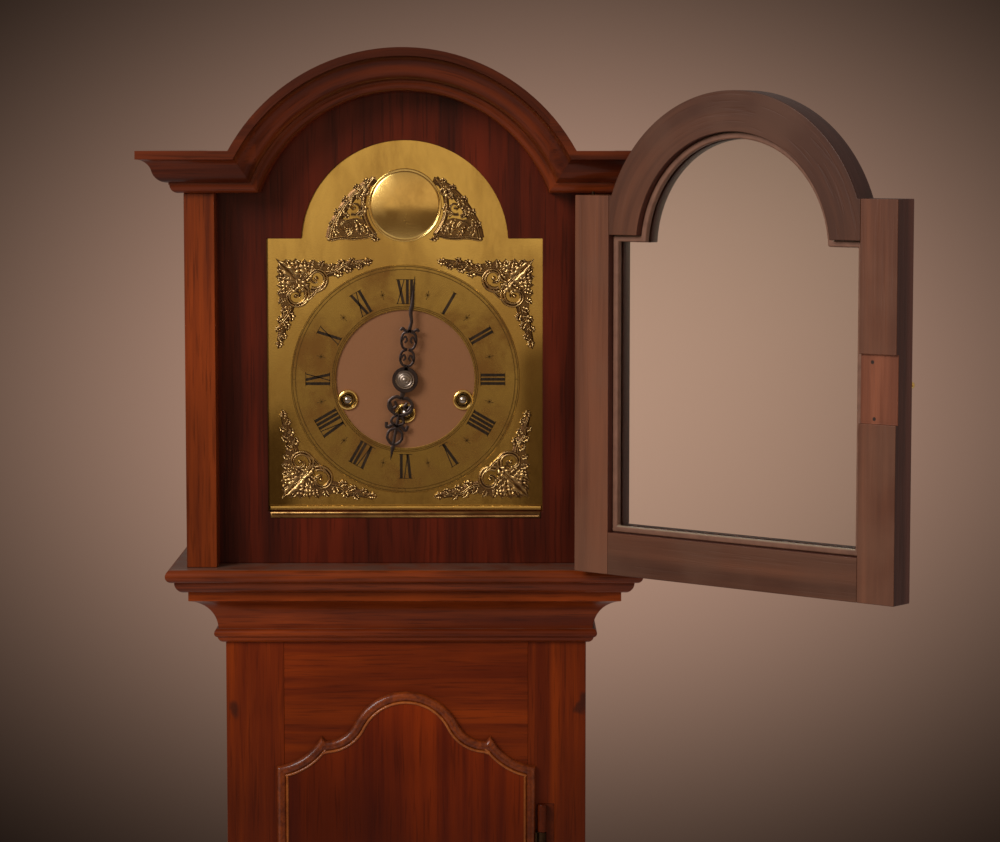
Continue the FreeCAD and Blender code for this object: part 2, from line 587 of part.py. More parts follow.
arch_points = [(-hood_half, S.post_top, 0), (-spring, S.post_top, bulge(-spring_turn)),
               (spring, S.post_top, 0), (hood_half, S.post_top, 0)] + top_edge
node(made("hood_arch_board", slab(arch_points, S.hood_front, S.post_back)))
vault, vault_turn = arch_over(S.side_top, S.arch_centre, S.roof_inner)
roof_points = [(-hood_half, S.side_top, 0), (-vault, S.side_top, bulge(-vault_turn)),
               (vault, S.side_top, 0), (hood_half, S.side_top, 0)] + top_edge
node(made("hood_roof", slab(roof_points, S.post_back, S.case_back)))

# Cornice: ovolo, fillet and cyma, in two front runs, an arch and two returns
reach, rise = S.cornice_reach, S.cornice_height
cyma_low = (S.cornice_fillet, S.cornice_cyma_low)
cyma_top = (reach, S.cornice_cyma_top)
cyma_mid = ((cyma_low[0] + cyma_top[0]) / 2, (cyma_low[1] + cyma_top[1]) / 2)
sweep = bulge(2 * math.degrees(math.atan2(cyma_top[1] - cyma_low[1], cyma_top[0] - cyma_low[0])))
cornice_profile = [
    (0, 0, 0), (S.cornice_step, 0, bulge(90)), (S.cornice_ovolo, S.cornice_ovolo_top, 0),
    (S.cornice_quirk, S.cornice_ovolo_top, 0), (S.cornice_quirk, S.cornice_cyma_low, 0),
    (*cyma_low, sweep),
    (*cyma_mid, -sweep), (*cyma_top, 0), (reach, rise, 0), (0, rise, 0)]
front_run, *returns = mitred(cornice_profile, hood_half, S.hood_front, S.case_back, S.post_top)
top_span, _ = arch_over(S.post_top + rise, S.arch_centre, S.arch_radius + rise)
mitre_rise = rise * 2
mitre_far = spring + (top_span - spring) * mitre_rise / rise
wide = hood_half + 2 * reach
above = S.post_top + mitre_rise
below = S.arch_centre - S.arch_radius
mitre_near = spring - (top_span - spring) * (S.post_top - below) / rise
arch_side = [(-mitre_near, below, 0), (mitre_near, below, 0), (spring, S.post_top, 0),
             (mitre_far, above, 0), (mitre_far, above + 2 * S.arch_radius, 0),
             (-mitre_far, above + 2 * S.arch_radius, 0), (-mitre_far, above, 0),
             (-spring, S.post_top, 0)]
arch_space = slab(arch_side, S.hood_front - 2 * reach, S.hood_front + reach)
straight_runs = front_run.cut(arch_space).Solids
section = outline(cornice_profile, lambda u, v: Vector(
    S.arch_radius + v, S.hood_front - u, S.arch_centre))
ring = section.revolve(Vector(0, 0, S.arch_centre), Vector(0, -1, 0), 180)
arch_run = ring.common(arch_space)
cornice = [run.cut(pins[1]) for run in straight_runs + [arch_run] + returns]
node(made("hood_cornice", Part.makeCompound(cornice)))
node(made("hood_pivot_pins", Part.makeCompound(pins)))
node(arch_body("dial_mask", [("mask_half", "hood_floor", "mask_shoulder", "arch_centre", "mask_radius"),
                             ("window_half", "window_low", "window_shoulder", "window_centre",
                              "window_arch")], "mask_back", "mask_thick"))

# Hood door, made shut and then swung open about its pivots
door_pose = Placement(Vector(), Rotation(Vector(0, 0, 1), S.door_open), pivot)


def swung(name, piece):
    """A door piece turned with the open door."""
    turned = grouped(name, [piece])
    turned.Placement = door_pose
    return node(turned)


blanks = []
straps = []
for low in (S.door_low, S.door_top - S.strap_thick):
    blank = Part.makeCylinder(S.strap_eye, S.strap_thick, pivot + Vector(0, 0, low))
    blank = blank.fuse(block((S.door_right - S.strap_length, S.door_right),
                             (S.door_front, S.door_front + S.strap_width), (low, low + S.strap_thick)))
    bore = Part.makeCylinder(S.pin_radius + S.running_fit, S.strap_thick, pivot + Vector(0, 0, low))
    blanks.append(blank)
    straps.append(blank.cut(bore).removeSplitter())
strap_beds = made("strap_beds", Part.makeCompound(blanks))
stile_z = ("door_low", "door_top")
lip_z = ("sight_low", "sight_shoulder")
full_y = ("door_front", "door_back")
lip_y = ("door_front", "glass_front")
hinge_stile = fused("hinge_stile", [
    board("hinge_stile_body", ("rebate_half", "door_right"), full_y, stile_z),
    board("hinge_stile_lip", ("sight_half", "rebate_half"), lip_y, lip_z)])
swung("hood_door_hinge_stile", cut("hinge_stile_bedded", hinge_stile, strap_beds))
lock_stile = fused("lock_stile", [
    board("lock_stile_body", ("door_left", "-rebate_half"), full_y, stile_z),
    board("lock_stile_lip", ("-rebate_half", "-sight_half"), lip_y, lip_z)])
lock_recess = board("lock_recess", ("door_left", "door_left + recess_width"),
                    ("door_back - recess_depth", "door_back"),
                    ("door_low + recess_rise", "door_low + recess_rise + recess_height"))
swung("hood_door_lock_stile", cut("lock_stile_cut", lock_stile, lock_recess))
swung("hood_door_bottom_rail", fused("door_bottom_rail", [
    board("rail_body", across("rebate_half"), full_y, ("door_low", "rebate_low")),
    board("rail_lip", across("rebate_half"), lip_y, ("rebate_low", "sight_low"))]))


def head_slab(shoulder, radius, front, back):
    """The arched head of the door frame above one sight line."""
    inner, inner_turn = arch_over(shoulder, S.arch_centre, radius)
    outer, outer_turn = arch_over(S.door_top, S.arch_centre, S.door_radius)
    side = S.rebate_half
    points = [(-side, shoulder, 0), (-inner, shoulder, bulge(-inner_turn)), (inner, shoulder, 0),
              (side, shoulder, 0), (side, S.door_top, 0), (outer, S.door_top, bulge(outer_turn)),
              (-outer, S.door_top, 0), (-side, S.door_top, 0)]
    return slab(points, front, back)


head_front = head_slab(S.sight_shoulder, S.sight_radius, S.door_front, S.glass_front)
head_back = head_slab(S.rebate_shoulder, S.rebate_radius, S.glass_front, S.door_back)
swung("hood_door_arch_head", made("door_arch_head", head_front.fuse(head_back)))
swung("hood_door_glass", arch_body(
    "door_glass", [("glass_half", "glass_low", "glass_shoulder", "arch_centre", "glass_radius")],
    "glass_back", "glass_thick"))
swung("hood_door_glazing_bead", arch_body(
    "door_bead", [("bead_half", "bead_low", "bead_shoulder", "arch_centre", "bead_radius"),
                  ("bead_in_half", "bead_in_low", "bead_in_shoulder", "arch_centre", "bead_in_radius")],
    "bead_back", "bead_thick"))
swung("hood_door_pivot_straps", made("strap_pair", Part.makeCompound(straps)))
pull_x = "door_left + pull_inset"
pull_z = "door_low + pull_rise"
swung("hood_door_pull", fused("door_pull", [
    rod("pull_stem", pull_x, ("door_front - pull_length", "door_front"), pull_z, "pull_radius / 2"),
    rod("pull_head", pull_x, ("door_front - pull_length", "door_front - pull_length / 2"), pull_z,
        "pull_radius")]))

# Dial plate with its feet, chapter ring, boss, castings and winding rings
dial_outline = arch_body("dial_outline", [("dial_half", "dial_low", "dial_shoulder", "window_centre",
                                           "dial_arch")], "dial_back", "dial_thick")
winding_places = [("-winding_side", "dial_height - winding_side_drop"),
                  ("0", "dial_height - going_drop"),
                  ("winding_side", "dial_height - winding_side_drop")]
holes = [rod("hand_hole", "0", ("dial_front", "dial_back"), "dial_height", "dial_hole")]
rings = []
for count, (x, z) in enumerate(winding_places, start=1):
    holes.append(rod(f"winding_hole_{count}", x, ("dial_front", "dial_back"), z, "winding_hole"))
    ring_y = ("dial_front - ring_thick", "dial_front")
    rings.append(cut(f"winding_ring_{count}", rod(f"ring_disc_{count}", x, ring_y, z, "winding_ring"),
                     rod(f"ring_bore_{count}", x, ring_y, z, "winding_hole")))
pierced_dial = cut("pierced_dial", dial_outline, fused("dial_holes", holes))
feet = []
for column, side in (("left", "-"), ("right", "")):
    for line, level in (("low", "dial_height - plate_low + foot_inset"),
                        ("high", "dial_height + plate_high - foot_inset - foot_radius")):
        feet.append(rod(f"foot_{column}_{line}", f"{side}(plate_half - foot_inset)",
                        ("dial_back", "plate_front"), level, "foot_radius"))
node(fused("dial_plate", [pierced_dial] + feet))
ring_y = ("dial_front - chapter_thick", "dial_front")
chapter = cut("chapter_blank", rod("chapter_disc", "0", ring_y, "dial_height", "chapter_outer"),
              rod("chapter_bore", "0", ring_y, "dial_height", "chapter_inner"))
node(cut("chapter_ring", chapter, grouped("ring_seats", [
    rod(f"ring_seat_{count}", x, ring_y, z, "winding_ring")
    for count, (x, z) in enumerate(winding_places)])))
node(grouped("winding_hole_rings", rings))
dome = S.boss_dome
boss_height = S.dial_height + S.boss_rise
sphere = (S.boss_radius ** 2 + dome ** 2) / (2 * dome)
ball = Part.makeSphere(sphere, Vector(0, S.dial_front - dome + sphere, boss_height))
node(made("dial_boss", ball.common(disc(0, boss_height, S.boss_radius, S.dial_front - dome, S.dial_front))))
clear = S.chapter_outer + S.spandrel_gap
corner_x, corner_z = S.spandrel_side, S.spandrel_top
arm_z = math.sqrt(clear ** 2 - S.spandrel_tip_x ** 2)
arm_x = math.sqrt(clear ** 2 - S.spandrel_tip_z ** 2)
arc_turn = math.degrees(math.atan2(arm_z, S.spandrel_tip_x) - math.atan2(S.spandrel_tip_z, arm_x))
castings = []
casting_front = S.dial_front - S.spandrel_thick
for side in (-1, 1):
    for level in (-1, 1):
        corner = [(S.spandrel_tip_x, arm_z, 0), (S.spandrel_tip_x, corner_z, 0), (corner_x, corner_z, 0),
                  (corner_x, S.spandrel_tip_z, 0), (arm_x, S.spandrel_tip_z, bulge(arc_turn))]
        points = [(side * x, S.dial_height + level * z, side * level * bend) for x, z, bend in corner]
        castings.append(slab(points, casting_front, S.dial_front))
    low = S.dial_height + S.ornament_rise
    limits = sorted((side * S.ornament_inner, side * S.ornament_half))
    leaf = block(limits, (casting_front, S.dial_front), (low, S.dial_height + S.ornament_top))
    leaf = leaf.common(disc(0, S.window_centre, S.ornament_radius, casting_front, S.dial_front))
    castings.append(leaf.cut(disc(0, boss_height, S.boss_radius + S.ornament_gap, casting_front,
                                  S.dial_front)))
node(made("spandrels", Part.makeCompound(castings)))


# Wheelwork: places of the arbors on the plates, seen from the front about the dial centre

def meeting(first, first_radius, second, second_radius, side):
    """The point at two given distances from two arbors, on the right (1) or left (-1)."""
    (x0, z0), (x1, z1) = first, second
    gap = math.hypot(x1 - x0, z1 - z0)
    along = (first_radius ** 2 - second_radius ** 2 + gap ** 2) / (2 * gap)
    off = side * math.sqrt(first_radius ** 2 - along ** 2)
    ux, uz = (x1 - x0) / gap, (z1 - z0) / gap
    return x0 + along * ux + off * uz, z0 + along * uz - off * ux


def direction(start, end):
    """The angle of the line from one arbor to another, in degrees."""
    return math.degrees(math.atan2(end[1] - start[1], end[0] - start[0]))


def in_mesh(phase, teeth, heading, other_teeth):
    """The tooth angle that lets a second wheel mesh with a first one along a heading."""
    share = (phase - heading) * teeth / 360
    return heading + 180 - 360 / other_teeth * (share + 0.5)


def count(name):
    """A tooth count from the sheet."""
    return round(S.get(name))


def wheel(place, teeth, module, phase, front, thick):
    """A toothed disc with straight-flanked teeth, one of them centred on the phase angle."""
    pitch = 2 * math.pi / teeth
    root = module * (teeth / 2 - S.tooth_dedendum)
    tip = module * (teeth / 2 + S.tooth_addendum)
    flanks = ((root, -S.tooth_root), (tip, -S.tooth_tip), (tip, S.tooth_tip), (root, S.tooth_root))
    corners = []
    for tooth in range(teeth):
        for radius, share in flanks:
            angle = math.radians(phase) + (tooth + share) * pitch
            corners.append(Vector(place[0] + radius * math.cos(angle), front,
                                  S.dial_height + place[1] + radius * math.sin(angle)))
    face = Part.Face(Part.makePolygon(corners + corners[:1]))
    return face.extrude(Vector(0, thick, 0))


def spindle(place, radius, front, back):
    """A round arbor at a place on the plates."""
    return disc(place[0], S.dial_height + place[1], radius, front, back)


def solid(shapes, bores=()):
    """Shapes made into one solid with bores taken out."""
    whole = shapes[0].fuse(list(shapes[1:]))
    for bore in bores:
        whole = whole.cut(bore)
    return whole.removeSplitter()


centre_at = (0, 0)
going_at = (0, -S.going_drop)
strike_at = (-S.winding_side, -S.winding_side_drop)
chime_at = (S.winding_side, -S.winding_side_drop)
escape_at = (0, S.escape_rise)
anchor_at = (0, S.anchor_rise)
minute_at = (S.motion_distance, 0)
inter_at = meeting(centre_at, S.inter_module * (count("inter_teeth") + count("centre_pinion")) / 2,
                   going_at, S.great_module * (count("great_teeth") + count("great_pinion")) / 2, -1)
third_at = meeting(centre_at, S.centre_module * (count("centre_teeth") + count("third_pinion")) / 2,
                   escape_at, S.third_module * (count("third_teeth") + count("escape_pinion")) / 2, -1)
inside = S.plate_inner
pivots = (S.plate_front, S.plate_rear)

# Tooth angles, worked out along the train from the centre wheel
centre_pinion_phase = 0
centre_phase = 0
cannon_phase = 0
inter_phase = in_mesh(centre_pinion_phase, count("centre_pinion"), direction(centre_at, inter_at),
                      count("inter_teeth"))
inter_pinion_phase = 0
great_phase = in_mesh(inter_pinion_phase, count("great_pinion"), direction(inter_at, going_at),
                      count("great_teeth"))
third_pinion_phase = in_mesh(centre_phase, count("centre_teeth"), direction(centre_at, third_at),
                             count("third_pinion"))
third_phase = 0
escape_pinion_phase = in_mesh(third_phase, count("third_teeth"), direction(third_at, escape_at),
                              count("escape_pinion"))
minute_phase = in_mesh(cannon_phase, count("cannon_teeth"), direction(centre_at, minute_at),
                       count("minute_teeth"))
minute_pinion_phase = 0
hour_phase = in_mesh(minute_pinion_phase, count("minute_pinion"), direction(minute_at, centre_at),
                     count("hour_teeth"))

# Plates with their pivot holes, the minute wheel's stud, and the pillars between them
arbors = [(centre_at, S.centre_radius), (inter_at, S.arbor_radius), (third_at, S.arbor_radius),
          (escape_at, S.arbor_radius), (anchor_at, S.arbor_radius), (going_at, S.winding_radius),
          (strike_at, S.winding_radius), (chime_at, S.winding_radius)]
plate_z = (S.dial_height - S.plate_low, S.dial_height + S.plate_high)
stud_end = S.plate_front - S.motion_lift - 3 * S.motion_thick
plates = []
for front, back in ((S.plate_front, S.plate_inner), (S.back_plate, S.plate_rear)):
    blank = block((-S.plate_half, S.plate_half), (front, back), plate_z)
    for place, radius in arbors:
        blank = blank.cut(spindle(place, radius + S.running_fit, front, back))
    plates.append(blank)
plates[0] = plates[0].fuse(spindle(minute_at, S.stud_radius, stud_end, S.plate_front))
node(made("movement_plates", Part.makeCompound(plates)))
pillar_y = ("plate_inner", "back_plate")
pillars = []
for column, side in (("left", "-"), ("right", "")):
    for line, level in (("low", "seat_top + pillar_inset"),
                        ("high", "dial_height + plate_high - pillar_inset")):
        pillars.append(rod(f"pillar_{column}_{line}", f"{side}(plate_half - pillar_inset)", pillar_y,
                           level, "pillar_radius"))
node(grouped("plate_pillars", pillars))


# Barrels and winding arbors

def winding_arbor(place):
    """A winding arbor through both plates, squared in front for the key."""
    square_back = S.dial_back
    square_front = square_back - S.square_length
    half = S.square_size / 2
    z = S.dial_height + place[1]
    key = block((place[0] - half, place[0] + half), (square_front, square_back), (z - half, z + half))
    return spindle(place, S.winding_radius, square_back, S.plate_rear).fuse(key)


def drum(place, phase, wheel_front, drum_front):
    """A spring drum with its great wheel."""
    teeth = wheel(place, count("great_teeth"), S.great_module, phase, wheel_front, S.great_thick)
    return [teeth, spindle(place, S.drum_radius, drum_front, drum_front + S.drum_length)]


going_front = inside + S.going_level
side_wheel = inside + S.side_level
node(made("going_barrel", solid(
    drum(going_at, great_phase, going_front, going_front + S.great_thick),
    [spindle(going_at, S.winding_radius + S.running_fit, going_front,
             going_front + S.great_thick + S.drum_length)])))
node(made("going_winding_arbor", winding_arbor(going_at)))
for name, place in (("strike_barrel", strike_at), ("chime_barrel", chime_at)):
    shapes = drum(place, 0, side_wheel, side_wheel - S.drum_length)
    node(made(name, solid(shapes + [winding_arbor(place)])))

# Going train: intermediate, centre with cannon pinion, third and escape wheels
inter_front = inside + S.inter_level
great_middle = going_front + S.great_thick / 2 - S.pinion_length / 2
node(made("intermediate_wheel", solid([
    spindle(inter_at, S.arbor_radius, *pivots),
    wheel(inter_at, count("inter_teeth"), S.inter_module, inter_phase, inter_front, S.wheel_thick),
    wheel(inter_at, count("great_pinion"), S.great_module, inter_pinion_phase, great_middle,
          S.pinion_length)])))
cannon_front = S.plate_front - S.motion_lift - S.motion_thick
centre_front = inside + S.centre_level
arbor_tip = S.minute_hand_front - S.nut_height / 2
pinion_start = inter_front + S.wheel_thick / 2 - S.pinion_length / 2
node(made("centre_wheel", solid([
    spindle(centre_at, S.centre_radius, arbor_tip, S.plate_rear),
    wheel(centre_at, count("centre_teeth"), S.centre_module, centre_phase, centre_front, S.wheel_thick),
    wheel(centre_at, count("centre_pinion"), S.inter_module, centre_pinion_phase, pinion_start,
          S.pinion_length),
    wheel(centre_at, count("cannon_teeth"), S.motion_module, cannon_phase, cannon_front,
          S.motion_thick)])))
third_front = inside + S.third_level
pinion_start = centre_front + S.wheel_thick / 2 - S.pinion_length / 2
node(made("third_wheel", solid([
    spindle(third_at, S.arbor_radius, *pivots),
    wheel(third_at, count("third_teeth"), S.third_module, third_phase, third_front, S.wheel_thick),
    wheel(third_at, count("third_pinion"), S.centre_module, third_pinion_phase, pinion_start,
          S.pinion_length)])))
escape_front = inside + S.escape_level
escape_height = S.dial_height + S.escape_rise
escape_root = S.escape_radius - S.escape_depth
tooth_points = []
for tooth in range(count("escape_teeth")):
    for radius, share in ((escape_root, 0), (S.escape_radius, 0.35), (S.escape_radius, 0.45),
                          (escape_root, 0.55)):
        angle = 2 * math.pi * (tooth + share) / count("escape_teeth")
        tooth_points.append(Vector(radius * math.cos(angle), escape_front,
                                   escape_height + radius * math.sin(angle)))
escape_disc = Part.Face(Part.makePolygon(tooth_points + tooth_points[:1]))
pinion_start = third_front + S.wheel_thick / 2 - S.pinion_length / 2
node(made("escape_wheel", solid([
    spindle(escape_at, S.arbor_radius, *pivots),
    escape_disc.extrude(Vector(0, S.wheel_thick, 0)),
    wheel(escape_at, count("escape_pinion"), S.third_module, escape_pinion_phase, pinion_start,
          S.pinion_length)])))

# Anchor with its two pallet arms, and the crutch behind the back plate
pallet = S.escape_radius + S.pallet_gap
spread = math.radians(S.pallet_spread)
pallet_x = pallet * math.sin(spread)
pallet_z = escape_height + pallet * math.cos(spread)
arm_back = escape_front + S.wheel_thick
outer_x = pallet_x + S.anchor_arm
pallet_ends = [(outer_x, pallet_z + S.anchor_arm / 3), (outer_x, pallet_z), (pallet_x, pallet_z)]
arm_points = [(0, S.swing_height + S.anchor_hub)] + pallet_ends + [(0, S.swing_height - S.anchor_hub)]
arm_points += [(-x, z) for x, z in reversed(pallet_ends)]
arms = slab([(x, z, 0) for x, z in arm_points], escape_front, arm_back)
crutch_front = S.plate_rear + S.crutch_gap
crutch_back = crutch_front + 3 * S.crutch_radius
crutch_mid = (crutch_front + crutch_back) / 2
crutch_low = S.swing_height - S.crutch_length
fork_inner = S.rod_radius + S.fork_gap
fork_outer = fork_inner + S.fork_wall
fork_z = (crutch_low - S.fork_height, crutch_low)
fork_end = S.pendulum_y + S.rod_radius
fork = [block((-fork_outer, fork_outer), (crutch_front, crutch_back), fork_z)]
for side in (-1, 1):
    prong = sorted((side * fork_inner, side * fork_outer))
    fork.append(block(prong, (crutch_front, fork_end), fork_z))
node(made("anchor", solid([
    spindle(anchor_at, S.arbor_radius, S.plate_front, crutch_back),
    spindle(anchor_at, S.anchor_hub, escape_front, arm_back),
    spindle(anchor_at, S.anchor_hub, crutch_front, crutch_back),
    Part.makeCylinder(S.crutch_radius, S.crutch_length, Vector(0, crutch_mid, crutch_low)), arms]
    + fork)))

# Suspension cock on the back plate, and the bracket of the hammers on the seatboard
jaw_low = S.swing_height + S.cock_lift
jaw_top = jaw_low + S.cock_height
cock_end = S.pendulum_y + S.cock_back
cock = block((-S.cock_half, S.cock_half), (S.pendulum_y - S.cock_back, cock_end), (jaw_low, jaw_top))
for side in (-1, 1):
    limits = sorted((side * (S.cock_half - S.cock_arm), side * S.cock_half))
    cock = cock.fuse(block(limits, (S.plate_rear, cock_end), (jaw_low - S.cock_arm, jaw_top)))
slit = block((-S.slit_width / 2, S.slit_width / 2), (S.pendulum_y - S.cock_back, cock_end),
             (jaw_low, jaw_low + S.spring_height))
gong_last = S.gong_first + (round(S.gong_count) - 1) * S.gong_pitch
head_y = S.gong_y - S.gong_radius - S.hammer_gap - S.hammer_length / 2
head_z = S.gong_top - S.hammer_drop
arbor_y = head_y - S.hammer_tilt
arbor_z = head_z - S.hammer_arm
ear_reach = arbor_y + S.bracket_ear
ear_z = (arbor_z - S.bracket_ear, arbor_z + S.bracket_ear)
bracket_x = (S.gong_first - S.bracket_margin, gong_last + S.bracket_margin)
bracket = block(bracket_x, (S.seat_back, S.seat_back + S.bracket_plate), (ear_z[0], S.seat_top))
for low in (bracket_x[0], bracket_x[1] - S.bracket_plate):
    bracket = bracket.fuse(block((low, low + S.bracket_plate), (S.seat_back, ear_reach), ear_z))
length = bracket_x[1] - bracket_x[0]
arbor_start = Vector(bracket_x[0], arbor_y, arbor_z)
bracket = bracket.cut(Part.makeCylinder(S.hammer_arbor + S.running_fit, length, arbor_start, Vector(1, 0, 0)))
node(made("back_plate_cocks", Part.makeCompound([cock.cut(slit).removeSplitter(),
                                                 bracket.removeSplitter()])))

# Motion work behind the dial
hour_front = cannon_front - 2 * S.motion_thick
node(made("minute_wheel", solid([
    wheel(minute_at, count("minute_teeth"), S.motion_module, minute_phase, cannon_front, S.motion_thick),
    spindle(minute_at, S.minute_hub, hour_front, cannon_front),
    wheel(minute_at, count("minute_pinion"), S.hour_module, minute_pinion_phase, hour_front,
          S.motion_thick)],
    [spindle(minute_at, S.stud_radius + S.running_fit, hour_front, S.plate_front)])))
node(made("hour_wheel", solid([
    wheel(centre_at, count("hour_teeth"), S.hour_module, hour_phase, hour_front, S.motion_thick),
    spindle(centre_at, S.hour_pipe, S.hour_hand_front, hour_front + S.motion_thick)],
    [spindle(centre_at, S.centre_radius + S.running_fit, S.hour_hand_front,
             hour_front + S.motion_thick)])))


# Hands and the nut that holds them

def hand(length, clockwise, front, bore):
    """A flat hand: round boss, swelling blade and fine tip, turned clockwise from twelve."""
    neck, swell = S.hand_neck, S.hand_swell
    stations = ((0, neck), (0.2, neck), (0.36, swell), (0.52, neck), (0.6, S.hand_collar),
                (0.72, S.hand_taper))
    half = [(width, length * share) for share, width in stations]
    points = half + [(0, length)] + [(-x, z) for x, z in reversed(half)]
    face = outline([(x, z, 0) for x, z in points], lambda u, v: Vector(u, front, v))
    blade = face.extrude(Vector(0, S.hand_thick, 0))
    plate = blade.fuse(disc(0, 0, S.hand_boss, front, front + S.hand_thick))
    plate = plate.cut(disc(0, 0, bore, front, front + S.hand_thick)).removeSplitter()
    plate.rotate(Vector(0, 0, 0), Vector(0, 1, 0), clockwise)
    plate.translate(Vector(0, 0, S.dial_height))
    return plate


node(made("hour_hand", hand(S.hour_length, S.hour_angle, S.hour_hand_front, S.hour_pipe)))
node(made("minute_hand", hand(S.minute_length, S.minute_angle, S.minute_hand_front, S.centre_radius)))
nut_front = S.minute_hand_front - S.nut_height
nut_ball = (S.nut_radius ** 2 + S.nut_height ** 2) / (2 * S.nut_height)
nut = Part.makeSphere(nut_ball, Vector(0, nut_front + nut_ball, S.dial_height))
nut = nut.common(disc(0, S.dial_height, S.nut_radius, nut_front, S.minute_hand_front))
node(made("hand_nut", nut.cut(spindle(centre_at, S.centre_radius, arbor_tip, S.minute_hand_front))))

# Pendulum: suspension spring, rod and rating nut, and the brass-faced bob
bob_height = S.swing_height - S.pendulum_length
rod_low = bob_height - S.bob_radius - S.rod_tail
rod_top = S.swing_height - S.cock_lift
strip = block((-S.spring_thick / 2, S.spring_thick / 2),
              (S.pendulum_y - S.spring_width / 2, S.pendulum_y + S.spring_width / 2),
              (rod_top, jaw_low + S.spring_height - S.cock_lift))
nut_top = bob_height - S.bob_radius
node(made("pendulum_rod", solid([
    Part.makeCylinder(S.rod_radius, rod_top - rod_low, Vector(0, S.pendulum_y, rod_low)), strip,
    Part.makeCylinder(S.nut_disc_radius, S.nut_disc_height,
                      Vector(0, S.pendulum_y, nut_top - S.nut_disc_height))])))
lens_ball = (S.bob_radius ** 2 + (S.bob_thick / 2) ** 2) / S.bob_thick
lens_shift = lens_ball - S.bob_thick / 2
lens = Part.makeSphere(lens_ball, Vector(0, S.pendulum_y + lens_shift, bob_height))
lens = lens.common(Part.makeSphere(lens_ball, Vector(0, S.pendulum_y - lens_shift, bob_height)))
rod_hole = Part.makeCylinder(S.rod_radius + S.running_fit, 3 * S.bob_radius,
                             Vector(0, S.pendulum_y, rod_low))
node(made("pendulum_bob", lens.cut(rod_hole)))

# Gong block on the backboard, its rods, and the hammers that strike them
block_x = ("gong_first - gong_block_margin",
           "gong_first + (gong_count - 1) * gong_pitch + gong_block_margin")
node(board("gong_block", block_x, ("gong_y - gong_block_margin", "back_front"),
           ("gong_top", "gong_top + gong_block_high")))
gongs = []
hammers = [Part.makeCylinder(S.hammer_arbor, length, arbor_start, Vector(1, 0, 0))]
for number in range(round(S.gong_count)):
    gongs.append(upright(f"gong_{number}", f"gong_first + {number} * gong_pitch", "gong_y",
                         (f"gong_top - gong_length + {number} * gong_step", "gong_top"), "gong_radius"))
    x = S.gong_first + number * S.gong_pitch
    tilt = Vector(0, S.hammer_tilt, S.hammer_arm)
    hammers.append(Part.makeCylinder(S.hammer_stem, tilt.Length, Vector(x, arbor_y, arbor_z), tilt))
    hammers.append(disc(x, head_z, S.hammer_radius, head_y - S.hammer_length / 2,
                        head_y + S.hammer_length / 2))
node(grouped("gong_rods", gongs))
node(made("hammers", solid(hammers)))

# Check every object, then write one file for each sub-part
doc.recompute()
for item in doc.Objects:
    if "Invalid" in item.State or "Error" in item.State:
        raise RuntimeError(f"{item.Label} failed: {item.State}")
os.makedirs("parts", exist_ok=True)
for piece in nodes:
    if piece.Shape.isNull() or not piece.Shape.isValid():
        raise RuntimeError(f"{piece.Label} has no valid shape")
    piece.Shape.exportStep(f"parts/{piece.Label}.step")
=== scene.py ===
import bmesh
import bpy
import json
import math
import numpy as np
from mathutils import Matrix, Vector

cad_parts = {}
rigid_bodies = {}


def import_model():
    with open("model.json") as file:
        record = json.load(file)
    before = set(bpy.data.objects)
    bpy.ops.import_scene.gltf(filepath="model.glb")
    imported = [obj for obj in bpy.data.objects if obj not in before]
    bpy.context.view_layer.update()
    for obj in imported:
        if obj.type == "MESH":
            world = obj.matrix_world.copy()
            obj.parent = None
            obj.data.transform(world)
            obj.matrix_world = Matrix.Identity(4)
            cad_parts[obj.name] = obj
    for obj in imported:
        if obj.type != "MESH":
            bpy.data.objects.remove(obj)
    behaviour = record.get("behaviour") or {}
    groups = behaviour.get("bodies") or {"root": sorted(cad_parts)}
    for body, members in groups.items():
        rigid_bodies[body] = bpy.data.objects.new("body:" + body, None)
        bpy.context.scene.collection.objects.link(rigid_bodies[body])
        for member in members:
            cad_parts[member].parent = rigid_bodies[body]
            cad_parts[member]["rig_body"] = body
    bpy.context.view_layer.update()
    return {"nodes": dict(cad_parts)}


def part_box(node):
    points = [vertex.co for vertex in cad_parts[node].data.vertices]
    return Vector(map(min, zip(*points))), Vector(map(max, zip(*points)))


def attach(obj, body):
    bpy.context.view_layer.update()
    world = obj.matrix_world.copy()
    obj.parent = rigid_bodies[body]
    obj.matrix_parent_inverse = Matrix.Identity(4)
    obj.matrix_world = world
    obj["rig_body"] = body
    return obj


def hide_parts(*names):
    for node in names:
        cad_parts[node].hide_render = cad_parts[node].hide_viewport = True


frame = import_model()


# Carcase boards that stay out of sight: bottom board, backboard, seatboard and hood roof.
# They are plain softwood, planed and left bare, nailed or glued into the case, and darkened by age.

def feed(node, *feeds):
    """Carry values or outputs to a node's sockets, given as (socket, value or output) pairs."""
    for key, value in feeds:
        if isinstance(value, bpy.types.NodeSocket):
            node.id_data.links.new(value, node.inputs[key])
        else:
            node.inputs[key].default_value = value


def put(tree, kind, *feeds, **settings):
    """A new node in a tree, with its own settings and what its sockets are fed."""
    node = tree.nodes.new("ShaderNode" + kind)
    for key, value in settings.items():
        setattr(node, key, value)
    feed(node, *feeds)
    return node


def step(kind, *feeds, **settings):
    """A new node in the tree that the outputs among its feeds come from."""
    tree = next(value.id_data for _, value in feeds if isinstance(value, bpy.types.NodeSocket))
    return put(tree, kind, *feeds, **settings)


def maths(operation, first, second=0.0, third=0.0):
    """One arithmetic step on values."""
    return step("Math", (0, first), (1, second), (2, third), operation=operation).outputs[0]


def times(first, second):
    """The product of two values."""
    return maths("MULTIPLY", first, second)


